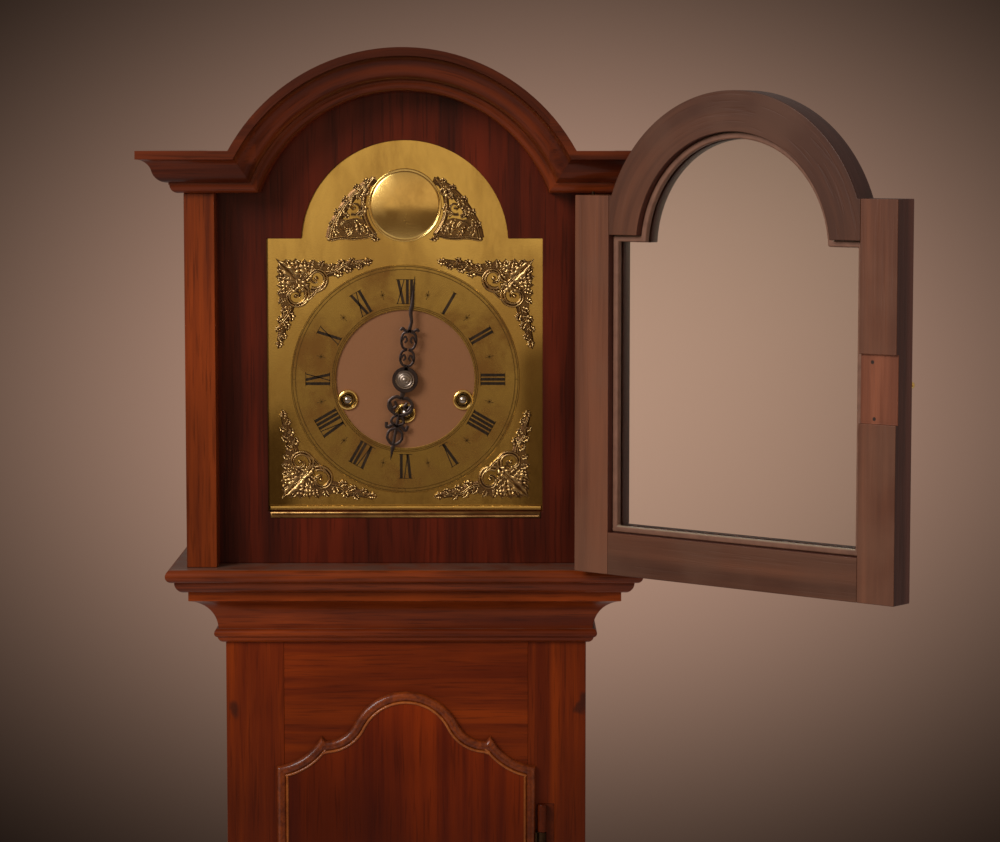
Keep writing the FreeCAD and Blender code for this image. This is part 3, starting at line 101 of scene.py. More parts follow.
def spread(value, low, high, out_low=0.0, out_high=1.0):
    """A value stretched from one range to another, eased at both ends."""
    feeds = ((0, value), (1, low), (2, high), (3, out_low), (4, out_high))
    return step("MapRange", *feeds, interpolation_type="SMOOTHSTEP").outputs[0]


def opaque(colour):
    """A (red, green, blue) colour with its alpha; an output stays as it is."""
    return (*colour, 1.0) if isinstance(colour, tuple) else colour


def blended(factor, first, second):
    """Two colours mixed by a factor."""
    feeds = ((0, factor), (6, opaque(first)), (7, opaque(second)))
    return step("Mix", *feeds, data_type="RGBA").outputs[2]


def noise(vector, scale, detail, rough=0.5, warp=0.0):
    """Smooth noise between 0 and 1 over a vector."""
    return step("TexNoise", ("Vector", vector), ("Scale", scale), ("Detail", detail), ("Roughness", rough),
                ("Distortion", warp)).outputs[0]


def place(finish):
    """Where a point is on the piece that wears a finish, in metres."""
    return put(finish.node_tree, "TexCoord").outputs["Object"]


def axes(vector):
    """The x, y and z of a vector."""
    return step("SeparateXYZ", (0, vector)).outputs


def packed(x, y, z):
    """The vector of an x, a y and a z."""
    return step("CombineXYZ", (0, x), (1, y), (2, z)).outputs[0]


def vectored(operation, first, second):
    """One step on vectors."""
    return step("VectorMath", (0, first), (1, second), operation=operation).outputs[0]


def stretched(vector, scale):
    """A vector scaled on each axis."""
    return vectored("MULTIPLY", vector, scale)


def scaled(vector, factor):
    """A vector or a colour multiplied by one factor."""
    return step("VectorMath", (0, vector), (3, factor), operation="SCALE").outputs[0]


def length(vector):
    """The length of a vector."""
    return step("VectorMath", (0, vector), operation="LENGTH").outputs[1]


def effect(name, inputs, outputs):
    """A shader node group with named sockets, the outputs of its first node and its last node."""
    group = bpy.data.node_groups.new(name, "ShaderNodeTree")
    for label, kind in inputs:
        group.interface.new_socket(label, in_out="INPUT", socket_type="NodeSocket" + kind)
    for label, kind in outputs:
        group.interface.new_socket(label, in_out="OUTPUT", socket_type="NodeSocket" + kind)
    return group, group.nodes.new("NodeGroupInput").outputs, group.nodes.new("NodeGroupOutput")


def applied(group, vector, first, second, scale):
    """The outputs of an effect over a vector, given its two colours and the scale of its pattern."""
    feeds = enumerate((vector, opaque(first), opaque(second), scale))
    return step("Group", *feeds, node_tree=group).outputs


def grain_effect():
    """Wood grain over a vector already stretched along the fibres.

    Tone is broad figure plus narrow ribbons; pores are the darkest part of a fine noise.
    """
    group, given, out = effect(
        "wood_grain", (("Vector", "Vector"), ("Dark", "Color"), ("Light", "Color"), ("Figure", "Float")),
        (("Color", "Color"), ("Tone", "Float"), ("Height", "Float")))
    vector, figure, dark = given["Vector"], given["Figure"], given["Dark"]
    ribbon_scale, pore_scale, broad_share, pore_depth, pore_shade = 4.3, 19.0, 0.6, 0.45, 0.55
    broad = noise(vector, figure, 4.0, rough=0.55, warp=0.8)
    ribbon = noise(vector, times(figure, ribbon_scale), 5.0, rough=0.6, warp=0.3)
    fine = noise(vector, times(figure, pore_scale), 2.0)
    mixed = maths("ADD", times(broad, broad_share), times(ribbon, 1 - broad_share))
    tone = spread(mixed, 0.36, 0.66)
    pores = spread(fine, 0.52, 0.70)
    colour = blended(tone, dark, given["Light"])
    shade = blended(pore_shade, dark, (0.0, 0.0, 0.0))
    colour = blended(times(pores, pore_depth), colour, shade)
    feed(out, ("Color", colour), ("Tone", tone), ("Height", maths("SUBTRACT", 1.0, pores)))
    return group


grain_group = grain_effect()
GRAIN_STRETCH = {"x": (0.04, 1.0, 1.0), "y": (1.0, 0.04, 1.0), "z": (1.0, 1.0, 0.04),
                 "level": (0.04, 0.04, 1.0), "even": (1.0, 1.0, 1.0)}


def new_finish(name, rough=0.5, coat=0.0, coat_rough=0.1, metallic=0.0, shine=0.5):
    """A material and its shader, whose constant values are set."""
    finish = bpy.data.materials.new(name)
    finish.use_nodes = True
    shader = finish.node_tree.nodes["Principled BSDF"]
    feed(shader, ("Roughness", rough), ("Metallic", metallic), ("Coat Weight", coat),
         ("Coat Roughness", coat_rough), ("Specular IOR Level", shine))
    return finish, shader


def bumped(shader, height, strength, depth=0.0004):
    """A fine relief on a shader: a height between 0 and 1, and its depth in metres."""
    relief = step("Bump", ("Strength", strength), ("Distance", depth), ("Height", height))
    feed(shader, ("Normal", relief.outputs[0]))


def grained(finish, shader, vector, dark, light, figure, rough, bump=0.12):
    """Wood grain carried to a shader: colour, a roughness that follows the tone, and open pores."""
    patina_dark, patina_light, dark_rough = 0.72, 1.12, 0.08
    wood = applied(grain_group, vector, dark, light, figure)
    patina = spread(noise(place(finish), scale=9.0, detail=2.0), 0.30, 0.72, patina_dark, patina_light)
    toned_rough = spread(wood["Tone"], 0.0, 1.0, rough + dark_rough, rough)
    feed(shader, ("Base Color", scaled(wood["Color"], patina)), ("Roughness", toned_rough))
    bumped(shader, wood["Height"], bump)


def timber(name, along, dark, light, figure, rough, coat=0.0, bump=0.12):
    """A timber with its fibres along one axis."""
    finish, shader = new_finish(name, rough, coat, coat_rough=0.12, shine=0.1)
    fibres = stretched(place(finish), GRAIN_STRETCH[along])
    grained(finish, shader, fibres, dark, light, figure, rough, bump)
    return finish


def solids(mesh):
    """The closed solids of a CAD mesh, each a list of faces given as corner points.

    Faces come solid by solid, so a solid is whole once each edge has been met in both directions.
    """
    found = []
    faces = []
    unmet = set()
    for polygon in mesh.polygons:
        ring = [tuple(mesh.vertices[index].co) for index in polygon.vertices]
        faces.append(ring)
        for start, end in zip(ring, ring[1:] + ring[:1]):
            if (end, start) in unmet:
                unmet.remove((end, start))
            else:
                unmet.add((start, end))
        if not unmet:
            found.append(faces)
            faces = []
    return found


def eased(node, name, material, width=0.0007):
    """A CAD piece with its arrises rounded: triangles merged into flat faces, then bevelled.

    Each length of a mitred moulding stays a solid of its own, so its mitres are crisp lines.
    """
    shortest, flattest, bluntest = 2e-6, math.radians(0.3), math.radians(28)
    mesh = bpy.data.meshes.new(name)
    shell = bmesh.new()
    for faces in solids(frame["nodes"][node].data):
        corners = {}
        for ring in faces:
            for spot in ring:
                if spot not in corners:
                    corners[spot] = shell.verts.new(spot)
            shell.faces.new([corners[spot] for spot in ring])
    bmesh.ops.dissolve_degenerate(shell, dist=shortest, edges=shell.edges)
    bmesh.ops.dissolve_limit(shell, angle_limit=flattest, verts=shell.verts, edges=shell.edges)
    for face in shell.faces:
        face.smooth = True
    shell.to_mesh(mesh)
    shell.free()
    mesh.materials.append(material)
    piece = bpy.data.objects.new(name, mesh)
    bpy.context.scene.collection.objects.link(piece)
    bevel = piece.modifiers.new("arris", "BEVEL")
    bevel.width = width
    bevel.segments = 2
    bevel.limit_method = "ANGLE"
    bevel.angle_limit = bluntest
    bevel.use_clamp_overlap = True
    piece.modifiers.new("faces", "WEIGHTED_NORMAL").keep_sharp = True
    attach(piece, frame["nodes"][node]["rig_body"])
    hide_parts(node)


def recoloured(finish, mask, colour):
    """A colour laid over a finish by a mask."""
    shader = finish.node_tree.nodes["Principled BSDF"]
    under = shader.inputs["Base Color"].links[0].from_socket
    feed(shader, ("Base Color", blended(mask, under, colour)))


def nailed(finish, half, pitch, radius=0.0026):
    """Two rows of rusty nail heads, each in a stain, at a half width and a pitch up the board."""
    stain, stain_reach, stain_depth = (0.075, 0.040, 0.022), 3.4, 0.55
    iron, iron_fade = (0.042, 0.030, 0.026), 0.1
    parts = axes(place(finish))
    across = maths("SUBTRACT", maths("ABSOLUTE", parts[0]), half)
    along = maths("SUBTRACT", maths("FLOORED_MODULO", parts[2], pitch), pitch / 2)
    distance = length(packed(across, 0.0, along))
    recoloured(finish, spread(distance, stain_reach * radius, radius, 0.0, stain_depth), stain)
    recoloured(finish, spread(distance, (1 + iron_fade) * radius, (1 - iron_fade) * radius), iron)


bare = {"figure": 20.0, "rough": 0.6, "bump": 0.3}
pine_dark, pine_light = (0.20, 0.095, 0.040), (0.36, 0.20, 0.095)
pine_deep = timber("bare_pine_lengthwise", "y", (0.18, 0.085, 0.036), (0.32, 0.175, 0.082), **bare)
pine_wide = timber("bare_pine_crosswise", "x", pine_dark, pine_light, **bare)
back_pine = timber("bare_pine_nailed", "z", pine_dark, pine_light, **bare)
nailed(back_pine, half=0.1205, pitch=0.120)
for board, finish in (("bottom_board", pine_wide), ("backboard", back_pine), ("seatboard", pine_wide),
                      ("hood_roof", pine_deep)):
    eased(board, board + "_wood", finish)

# Base and trunk of the case: plinth, base panel, waist and throat mouldings, sides, stiles and rails.
# They are solid and veneered mahogany, french polished to a dark red-brown; mitred mouldings are glued on.
RED_DARK = (0.090, 0.0094, 0.0008)
RED_LIGHT = (0.200, 0.0268, 0.0022)


def oval(vector, x, z, wide, high, soft):
    """A mask that is 1 inside an oval on the front, and fades out past a share of its half sizes."""
    offset = vectored("SUBTRACT", vector, (x, 0.0, z))
    share = length(stretched(offset, (1 / wide, 0.0, 1 / high)))
    return spread(share, 2 - soft, soft)


def knots_and_painted_shade(finish, knots, colour=(0.018, 0.006, 0.004), depth=0.7, soft=0.5):
    """Darker, slightly crooked ovals laid on a timber's colour, for knots, figure and painted shade: (x, z,
    half width, half height) rows.
    """
    crook = 0.008
    wander = step("TexNoise", ("Vector", place(finish)), ("Scale", 90.0)).outputs["Color"]
    bend = scaled(vectored("SUBTRACT", wander, (0.5, 0.5, 0.5)), crook)
    crooked = vectored("ADD", place(finish), bend)
    for knot in knots:
        recoloured(finish, times(oval(crooked, *knot, soft), depth), colour)


def upness(finish):
    """The upward part of a surface's normal."""
    return axes(put(finish.node_tree, "NewGeometry").outputs["Normal"])[2]


def dusted(finish, film_colour=(0.105, 0.062, 0.044), speck_colour=(0.17, 0.13, 0.11), depth=0.75):
    """A film of dust with a few specks on the faces of a finish that look up."""
    film = spread(noise(place(finish), scale=60.0, detail=4.0), 0.30, 0.62, 0.35, 1.0)
    specks = spread(noise(place(finish), scale=420.0, detail=1.0), 0.76, 0.80)
    flat = spread(upness(finish), 0.86, 0.99)
    recoloured(finish, times(times(flat, film), depth), film_colour)
    recoloured(finish, times(flat, specks), speck_colour)


def painted_low_shade(finish, depth=0.5, deep_z=0.90, clear_z=1.05):
    """Painted shade toward the foot of the case, from a little under the throat, where less light falls."""
    mask = spread(axes(place(finish))[2], deep_z, clear_z, depth, 0.0)
    recoloured(finish, mask, (0.012, 0.0014, 0.0004))


polish = {"figure": 34.0, "rough": 0.3, "coat": 0.1}
case_up = timber("mahogany_upright", "z", RED_DARK, RED_LIGHT, **polish)
stile_wood = timber("mahogany_stile", "z", RED_DARK, RED_LIGHT, **polish)
knots_and_painted_shade(stile_wood, [(0.1310, 1.0270, 0.0034, 0.0050), (0.1282, 1.0200, 0.0042, 0.0040),
                     (-0.1262, 1.0185, 0.0035, 0.0060)])
case_wide = timber("mahogany_crosswise", "x", RED_DARK, RED_LIGHT, **polish)
moulding_wood = timber("mahogany_moulding", "level", (0.092, 0.0112, 0.0012), (0.226, 0.0350, 0.0036),
                       figure=40.0, rough=0.3, coat=0.12)
dusted(moulding_wood)
# Painted shade on every case wood, darker toward the foot.
for finish in (case_up, stile_wood, case_wide, moulding_wood):
    painted_low_shade(finish)
for board, finish in (("base_front_board", case_up), ("base_sides", case_up), ("trunk_sides", case_up),
                      ("trunk_stiles", stile_wood)):
    eased(board, board + "_wood", finish)
eased("trunk_rails", "trunk_rails_wood", case_wide, width=0.0004)
for moulding in ("plinth", "waist_moulding", "throat_moulding"):
    eased(moulding, moulding + "_wood", moulding_wood, width=0.0003)


# Trunk door: a flame-figured panel with a shaped head, edged by a lipped moulding of a round and a bead.
# The door is solid mahogany, and the moulding is planted on round its edge and laps over the stiles.

def arcs(corners, steps=20):
    """A closed outline through (x, z, bend) corners; a bend is the tangent of a quarter of the arc's turn.

    Each arc is a rational quadratic curve whose middle point is where the end tangents meet.
    """
    corners = np.array(corners, float)
    start, end = corners[:, :2], np.roll(corners[:, :2], -1, axis=0)
    bend = corners[:, 2]
    chord = end - start
    lean = bend / (1 - bend ** 2)
    middle = (start + end) / 2 + np.stack([chord[:, 1], -chord[:, 0]], 1) * lean[:, None]
    weight = ((1 - bend ** 2) / (1 + bend ** 2))[:, None, None]
    count = [steps if value else 1 for value in bend]
    runs = []
    for index, number in enumerate(count):
        t = (np.arange(number) / number)[:, None]
        ends = (1 - t) ** 2 * start[index] + t ** 2 * end[index]
        pull = 2 * weight[index] * t * (1 - t)
        runs.append((ends + pull * middle[index]) / ((1 - t) ** 2 + t ** 2 + pull))
    return np.concatenate(runs)


def grid_faces(rows, columns, round_rows, round_columns):
    """Quads of a grid of points, joined round in one or both directions."""
    row = np.arange(rows if round_rows else rows - 1)
    column = np.arange(columns if round_columns else columns - 1)
    r, c = np.meshgrid(row, column, indexing="ij")
    r2, c2 = (r + 1) % rows, (c + 1) % columns
    corners = [r * columns + c, r * columns + c2, r2 * columns + c2, r2 * columns + c]
    return np.stack(corners, -1).reshape(-1, 4).tolist()


def joined(parts):
    """Several (points, faces) pairs as one."""
    points, faces, start = [], [], 0
    for some_points, some_faces in parts:
        flat = np.asarray(some_points, float).reshape(-1, 3)
        points.append(flat)
        faces += [[index + start for index in face] for face in some_faces]
        start += len(flat)
    return np.concatenate(points), faces


def made(name, shape, material, body, slot, *nodes, sharp=38):
    """A new piece from (points, faces), facing outward, smooth but for sharp edges, riding on a body."""
    points, faces = shape
    mesh = bpy.data.meshes.new(name)
    mesh.from_pydata(np.asarray(points).reshape(-1, 3).tolist(), [], faces)
    shell = bmesh.new()
    shell.from_mesh(mesh)
    bmesh.ops.remove_doubles(shell, verts=shell.verts, dist=1e-6)
    bmesh.ops.recalc_face_normals(shell, faces=shell.faces)
    shell.to_mesh(mesh)
    shell.free()
    mesh.shade_smooth()
    mesh.set_sharp_from_angle(angle=math.radians(sharp))
    mesh.materials.append(material)
    piece = bpy.data.objects.new(name, mesh)
    bpy.context.scene.collection.objects.link(piece)
    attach(piece, body)
    if nodes:
        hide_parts(*nodes)


def edged(outline, profile):
    """A moulding carried round a closed XZ outline, mitred at corners; profile is (distance in, y) rows.

    Where a short run of the outline would fold back on itself further in, its two ends meet halfway,
    or at the end of a straight side, which is held by a large weight.
    """
    straight_side, straight_weight, rounds = 0.1, 1e6, 3
    ahead = np.roll(outline, -1, axis=0) - outline
    run = np.linalg.norm(ahead, axis=1)
    beside_straight = np.maximum(run, np.roll(run, 1)) > straight_side
    hold = np.where(beside_straight, straight_weight, 1.0)[:, None, None]
    hold_after = np.roll(hold, -1, axis=0)
    ahead /= run[:, None]
    inward = np.stack([-ahead[:, 1], ahead[:, 0]], 1)
    before = np.roll(inward, 1, axis=0)
    mitre = (inward + before) / (1 + (inward * before).sum(1))[:, None]
    across = outline[:, None] + profile[None, :, :1] * mitre[:, None]
    for _ in range(rounds):
        after = np.roll(across, -1, axis=0)
        folded = (((after - across) * ahead[:, None]).sum(-1) < 0)[..., None]
        halfway = (across * hold + after * hold_after) / (hold + hold_after)
        across = np.where(folded, halfway, across)
        across = np.where(np.roll(folded, 1, axis=0), np.roll(halfway, 1, axis=0), across)
    depth = np.broadcast_to(profile[None, :, 1], across.shape[:2])
    points = np.stack([across[..., 0], depth, across[..., 1]], -1)
    return points, grid_faces(len(outline), len(profile), round_rows=True, round_columns=True)


def half_round(middle, half, base, rise, turn, steps):
    """Part of a round's profile from its outer edge: middle - half cos(a) in, and y = base - rise sin(a)."""
    angle = np.linspace(0, turn, steps)
    return np.stack([middle - half * np.cos(angle), base - rise * np.sin(angle)], 1)


door_half, door_foot, door_corner, door_apex = 0.095, 0.450, 0.9766, 1.0320
tip_x, tip_z, foot_x, foot_z, turn_x, turn_z = 0.062, 0.9990, 0.059, 0.9953, 0.037937, 1.0084019
scoop_depth = 0.010
ogee = math.tan(math.atan2(door_apex - foot_z, foot_x) / 2)
scoop = -scoop_depth / math.hypot(door_half - tip_x, tip_z - door_corner)
door_outline = arcs([
    (-door_half, door_foot, 0), (door_half, door_foot, 0), (door_half, door_corner, scoop), (tip_x, tip_z, 0),
    (foot_x, foot_z, -ogee), (turn_x, turn_z, ogee), (0, door_apex, ogee), (-turn_x, turn_z, -ogee),
    (-foot_x, foot_z, 0), (-tip_x, tip_z, scoop), (-door_half, door_corner, 0)])
lip_back, lip_wide, lip_shoulder = -0.0586, 0.0070, -0.0625
lip_round = half_round(middle=0.0034, half=0.0034, base=-0.0617, rise=0.0027, turn=0.86 * math.pi, steps=12)
lip_profile = np.concatenate([[[0.0, lip_back]], lip_round, [[lip_wide, lip_shoulder], [lip_wide, lip_back]]])
bead_inner, bead_outer = 0.0067, 0.0087
bead_round = half_round(middle=0.00770, half=0.00095, base=-0.0629, rise=0.0011, turn=math.pi, steps=9)
bead_profile = np.concatenate([[[bead_inner, lip_back]], bead_round, [[bead_outer, lip_back]]])
lip_wood = timber("mahogany_lip", "even", (0.095, 0.0150, 0.0030), (0.225, 0.0390, 0.0050),
                  figure=120.0, rough=0.33, coat=0.25)
# The bead's mahogany is paler than the lip's: painted light where the bead catches the lamp.
bead_wood_painted_light = timber("mahogany_bead_painted_light", "even", (0.230, 0.0520, 0.0090), (0.360, 0.0950, 0.0170),
                   figure=120.0, rough=0.28, coat=0.3)
made("trunk_door_lip_moulding", edged(door_outline, lip_profile), lip_wood, "trunk_door", "mahogany",
     "trunk_door_lip")
made("trunk_door_lip_bead", edged(door_outline, bead_profile), bead_wood_painted_light, "trunk_door", "mahogany")
flame_wood = timber("mahogany_flame", "z", (0.086, 0.0072, 0.0006), (0.200, 0.0222, 0.0016),
                    figure=30.0, rough=0.3, coat=0.1)
# Dark soft ovals on the panel: partly the flame figure, partly painted shade where the light falls off toward
# its lower left.
flame_figure_and_painted_shade = [(-0.075, 0.900, 0.055, 0.105), (0.040, 0.700, 0.030, 0.120), (-0.030, 0.560, 0.035, 0.070)]
knots_and_painted_shade(flame_wood, flame_figure_and_painted_shade, (0.026, 0.0022, 0.0006), depth=0.62, soft=0.15)
# Painted shade on the trunk door's woods, darker toward the foot.
for finish in (lip_wood, bead_wood_painted_light, flame_wood):
    painted_low_shade(finish)
eased("trunk_door_panel", "trunk_door_flame_panel", flame_wood, width=0.0003)


# Hinges, lock and other small fittings: cast and drawn brass, rubbed bright on the high places.
# The hinge leaves are let into the stiles and varnished over; the lock is screwed to the door's back.

def tarnish_effect():
    """Brass that is bright on clean places and brown where it has tarnished, with a fine roughness."""
    group, given, out = effect(
        "brass_tarnish", (("Vector", "Vector"), ("Bright", "Color"), ("Dull", "Color"), ("Scale", "Float")),
        (("Color", "Color"), ("Roughness", "Float"), ("Height", "Float")))
    vector, scale = given["Vector"], given["Scale"]
    fine_scale, cloud_rough, fine_rough = 24.0, 0.12, 0.12
    cloud = spread(noise(vector, scale, 5.0, rough=0.6, warp=0.4), 0.36, 0.68)
    fine = noise(vector, times(scale, fine_scale), 3.0, rough=0.6)
    colour = blended(cloud, given["Bright"], given["Dull"])
    rough = maths("ADD", times(cloud, cloud_rough), times(fine, fine_rough))
    feed(out, ("Color", colour), ("Roughness", rough), ("Height", fine))
    return group


tarnish_group = tarnish_effect()


def metal(name, bright, dull, scale, rough, bump=0.05):
    """A metal coloured and roughened by the tarnish effect, no smoother than a given roughness."""
    finish, shader = new_finish(name, rough, metallic=1.0)
    skin = applied(tarnish_group, place(finish), bright, dull, scale)
    feed(shader, ("Base Color", skin["Color"]), ("Roughness", maths("ADD", skin["Roughness"], rough)))
    bumped(shader, skin["Height"], bump, depth=0.0002)
    return finish


fitting_brass = metal("brass_fittings", (0.62, 0.41, 0.15), (0.30, 0.17, 0.06), scale=120.0, rough=0.22)
dark_brass = metal("brass_browned", (0.050, 0.027, 0.013), (0.021, 0.010, 0.006), scale=140.0, rough=0.40)
varnished = timber("varnish_over_brass", "even", (0.046, 0.0060, 0.0010), (0.088, 0.0120, 0.0018),
                   figure=120.0, rough=0.32, coat=0.1)
for fitting, finish in (("trunk_hinge_plates", varnished), ("trunk_door_hinges", dark_brass),
                        ("trunk_door_lock", fitting_brass)):
    eased(fitting, fitting + "_brass", finish, width=0.00025)

# Movement between its plates, on the seatboard: brass plates, wheels and barrels with steel arbors.
# The wheels are cut brass and the anchor, winding arbor and pendulum rod are steel.
movement_brass = metal("brass_movement", (0.68, 0.48, 0.19), (0.42, 0.27, 0.10), scale=70.0, rough=0.2)
bright_steel = metal("steel_bright", (0.52, 0.51, 0.50), (0.30, 0.28, 0.26), scale=90.0, rough=0.2)
for piece in ("movement_plates", "plate_pillars", "back_plate_cocks", "going_barrel", "strike_barrel",
              "chime_barrel", "intermediate_wheel", "centre_wheel", "third_wheel", "escape_wheel",
              "minute_wheel", "hour_wheel", "hammers"):
    eased(piece, piece + "_metal", movement_brass, width=0.0001)
for piece in ("going_winding_arbor", "anchor", "pendulum_rod", "gong_rods"):
    eased(piece, piece + "_metal", bright_steel, width=0.0001)
block_iron = metal("iron_block", (0.09, 0.088, 0.085), (0.05, 0.045, 0.04), scale=80.0, rough=0.45, bump=0.25)
eased("gong_block", "gong_block_metal", block_iron, width=0.0006)
bob_brass = metal("brass_bob", (0.72, 0.50, 0.19), (0.50, 0.32, 0.11), scale=40.0, rough=0.16)
eased("pendulum_bob", "pendulum_bob_metal", bob_brass, width=0.0003)

# Dial plate: rolled brass with an arched top, held to the movement by four feet.
# Its face is grained and lacquered, and the round inside the hour ring is matted and toned brown.
dial_z = 1.2615
dial_front = -0.0537


def dial_finish():
    """Lacquered brass with a painted dark reflection low down at the sides, and a matt brown round about the
    dial's centre.
    """
    round_radius, round_fade, round_rough, round_metal = 0.0503, 0.0004, 0.42, 0.25
    painted_reflection_in, painted_reflection_out, painted_reflection_top, painted_reflection_low, painted_reflection_slant, painted_reflection_depth = 0.074, 0.092, 1.275, 1.245, -0.28, 0.8
    finish, shader = new_finish("brass_dial_plate")
    lengthwise = stretched(place(finish), (1.0, 1.0, 0.35))
    skin = applied(tarnish_group, lengthwise, (0.80, 0.57, 0.17), (0.60, 0.39, 0.11), scale=22.0)
    offset = vectored("SUBTRACT", place(finish), (0.0, 0.0, dial_z))
    radius = length(stretched(offset, (1.0, 0.0, 1.0)))
    middle = spread(radius, round_radius + round_fade, round_radius)
    stipple = noise(place(finish), scale=1400.0, detail=2.0)
    brown = blended(stipple, (0.165, 0.062, 0.019), (0.225, 0.088, 0.029))
    parts = axes(place(finish))
    # Painted dark reflection: the plate darkens at its sides, most of all low down.
    side = spread(maths("ABSOLUTE", parts[0]), painted_reflection_in, painted_reflection_out)
    slanted = maths("MULTIPLY_ADD", parts[0], painted_reflection_slant, parts[2])
    lower = spread(slanted, painted_reflection_top, painted_reflection_low, 0.0, painted_reflection_depth)
    with_painted_reflection = blended(times(side, lower), skin["Color"], (0.165, 0.090, 0.024))
    plate_rough = maths("ADD", skin["Roughness"], 0.02)
    rough = maths("ADD", plate_rough, times(middle, round_rough))
    feed(shader, ("Base Color", blended(middle, with_painted_reflection, brown)), ("Roughness", rough),
         ("Metallic", spread(middle, 0.0, 1.0, 1.0, round_metal)))
    bumped(shader, stipple, strength=0.08, depth=0.0002)
    return finish


eased("dial_plate", "dial_plate_brass", dial_finish(), width=0.0003)


# Hour ring: a brass ring pinned to the dial, with engraved hours filled with black wax.
# Double lines run round both edges, with a fine minute track inside the outer pair.

def turned(profile, centre, steps, ring=False):
    """A turned piece: (radius, y) profile swept round an axis that runs front to back through (x, z).

    A ring's profile closes on itself.
    """
    profile = np.asarray(profile, float)
    angle = np.linspace(0, 2 * math.pi, steps, endpoint=False)[:, None]
    x = centre[0] + profile[:, 0] * np.sin(angle)
    z = centre[1] + profile[:, 0] * np.cos(angle)
    points = np.stack([x, np.broadcast_to(profile[:, 1], x.shape), z], -1)
    return points, grid_faces(steps, len(profile), round_rows=True, round_columns=ring)


ring_front = dial_front - 0.0015
ring_outer, ring_inner, ring_arris = 0.0834, 0.0506, 0.0003
groove_places = (0.0822, 0.0800, 0.0532, 0.0520)
groove_half, floor_half, groove_depth = 0.0003, 0.0002, 0.0002
groove_floor = ring_front + groove_depth
ring_profile = [(ring_outer, dial_front), (ring_outer, ring_front + ring_arris),
                (ring_outer - ring_arris, ring_front)]
for groove in groove_places:
    ring_profile += [(groove + groove_half, ring_front), (groove + floor_half, groove_floor),
                     (groove - floor_half, groove_floor), (groove - groove_half, ring_front)]
ring_profile += [(ring_inner + ring_arris, ring_front), (ring_inner, ring_front + ring_arris),
                 (ring_inner, dial_front)]
ring_brass = metal("brass_hour_ring", (0.54, 0.37, 0.105), (0.29, 0.155, 0.046), scale=30.0, rough=0.12)
hour_ring = turned(ring_profile, (0, dial_z), steps=160, ring=True)
made("hour_ring", hour_ring, ring_brass, "case", "chapter_brass", "chapter_ring", sharp=20)

HOURS = ("XII", "I", "II", "III", "IIII", "V", "VI", "VII", "VIII", "IX", "X", "XI")
STROKE_ADVANCE = {"I": 0.0031, "V": 0.0062, "X": 0.0064}
numeral_low, numeral_top, serif = 0.0548, 0.0728, 0.0004
thick, thin, letter_gap = 0.00105, 0.00036, 0.0007


def numeral_strokes(word):
    """Slanted bars of one numeral: (top middle, foot middle, half width, foot radius, top radius) rows."""
    widths = [STROKE_ADVANCE[letter] for letter in word]
    at = -sum(widths) / 2
    rows = []
    for letter, width in zip(word, widths):
        left, middle, right = at + letter_gap, at + width / 2, at + width - letter_gap
        if letter == "I":
            strokes = [(middle, middle, thick)]
        elif letter == "V":
            strokes = [(left + thick / 2, middle, thick), (right, middle, thin)]
        else:
            strokes = [(left + thick / 2, right - thick / 2, thick), (right, left, thin)]
        rows += [(*stroke, numeral_low, numeral_top) for stroke in strokes]
        at += width
    for level in (numeral_low, numeral_top - serif):
        rows.append((0, 0, sum(widths) / 2 + serif, level, level + serif))
    return rows


def inlaid(rows, angles, front, back):
    """Bars laid round the dial as thin blocks, each slanted across its radius at its own clock angle."""
    top, foot, half, low, high = np.array(rows, float).T
    along = np.stack([top - half, top + half, foot + half, foot - half], 1)
    out = np.stack([high, high, low, low], 1)
    turn = np.asarray(angles, float)[:, None]
    x = out * np.sin(turn) + along * np.cos(turn)
    z = dial_z + out * np.cos(turn) - along * np.sin(turn)
    level = np.ones_like(x)
    points = np.concatenate([np.stack([x, level * front, z], -1), np.stack([x, level * back, z], -1)], 1)
    block = np.array([[0, 1, 2, 3], [7, 6, 5, 4], [0, 4, 5, 1], [1, 5, 6, 2], [2, 6, 7, 3], [3, 7, 4, 0]])
    return points, (np.arange(len(points))[:, None, None] * 8 + block).reshape(-1, 4).tolist()


half_hour_mark = [(0, 0, 0.00035, 0.0600, 0.0668), (0.0016, -0.0016, 0.0003, 0.0618, 0.0650),
                  (-0.0016, 0.0016, 0.0003, 0.0618, 0.0650), (0, 0, 0.0019, 0.0631, 0.0637)]
bars, bar_angles, marks, mark_angles = [], [], [], []
for hour, word in enumerate(HOURS):
    strokes = numeral_strokes(word)
    bars += strokes
    bar_angles += [math.radians(30 * hour)] * len(strokes)
    marks += half_hour_mark
    mark_angles += [math.radians(30 * hour + 15)] * len(half_hour_mark)
minute_half, five_half, track_low, track_top = 0.00012, 0.00026, 0.0803, 0.0819
for minute in range(60):
    marks.append((0, 0, minute_half if minute % 5 else five_half, track_low, track_top))
    mark_angles.append(math.radians(6 * minute))
wax_front, wax_back = ring_front - 0.00006, ring_front + 0.0001
black_wax = timber("wax_black", "z", (0.014, 0.008, 0.004), (0.036, 0.020, 0.010), figure=300.0, rough=0.45)
made("hour_numerals", inlaid(bars, bar_angles, wax_front, wax_back), black_wax, "case", "chapter_brass")
cut_brass = metal("brass_engraving", (0.20, 0.12, 0.036), (0.11, 0.06, 0.02), scale=200.0, rough=0.3)
cut_half = 0.00018
cut_section = [(cut_half, groove_floor), (cut_half, wax_back),
               (-cut_half, wax_back), (-cut_half, groove_floor)]
cut_lines = [turned([(groove + half, y) for half, y in cut_section], (0, dial_z), steps=160, ring=True)
             for groove in groove_places]
made("dial_engraving", joined([inlaid(marks, mark_angles, wax_front, wax_back)] + cut_lines), cut_brass,
     "case", "chapter_brass")

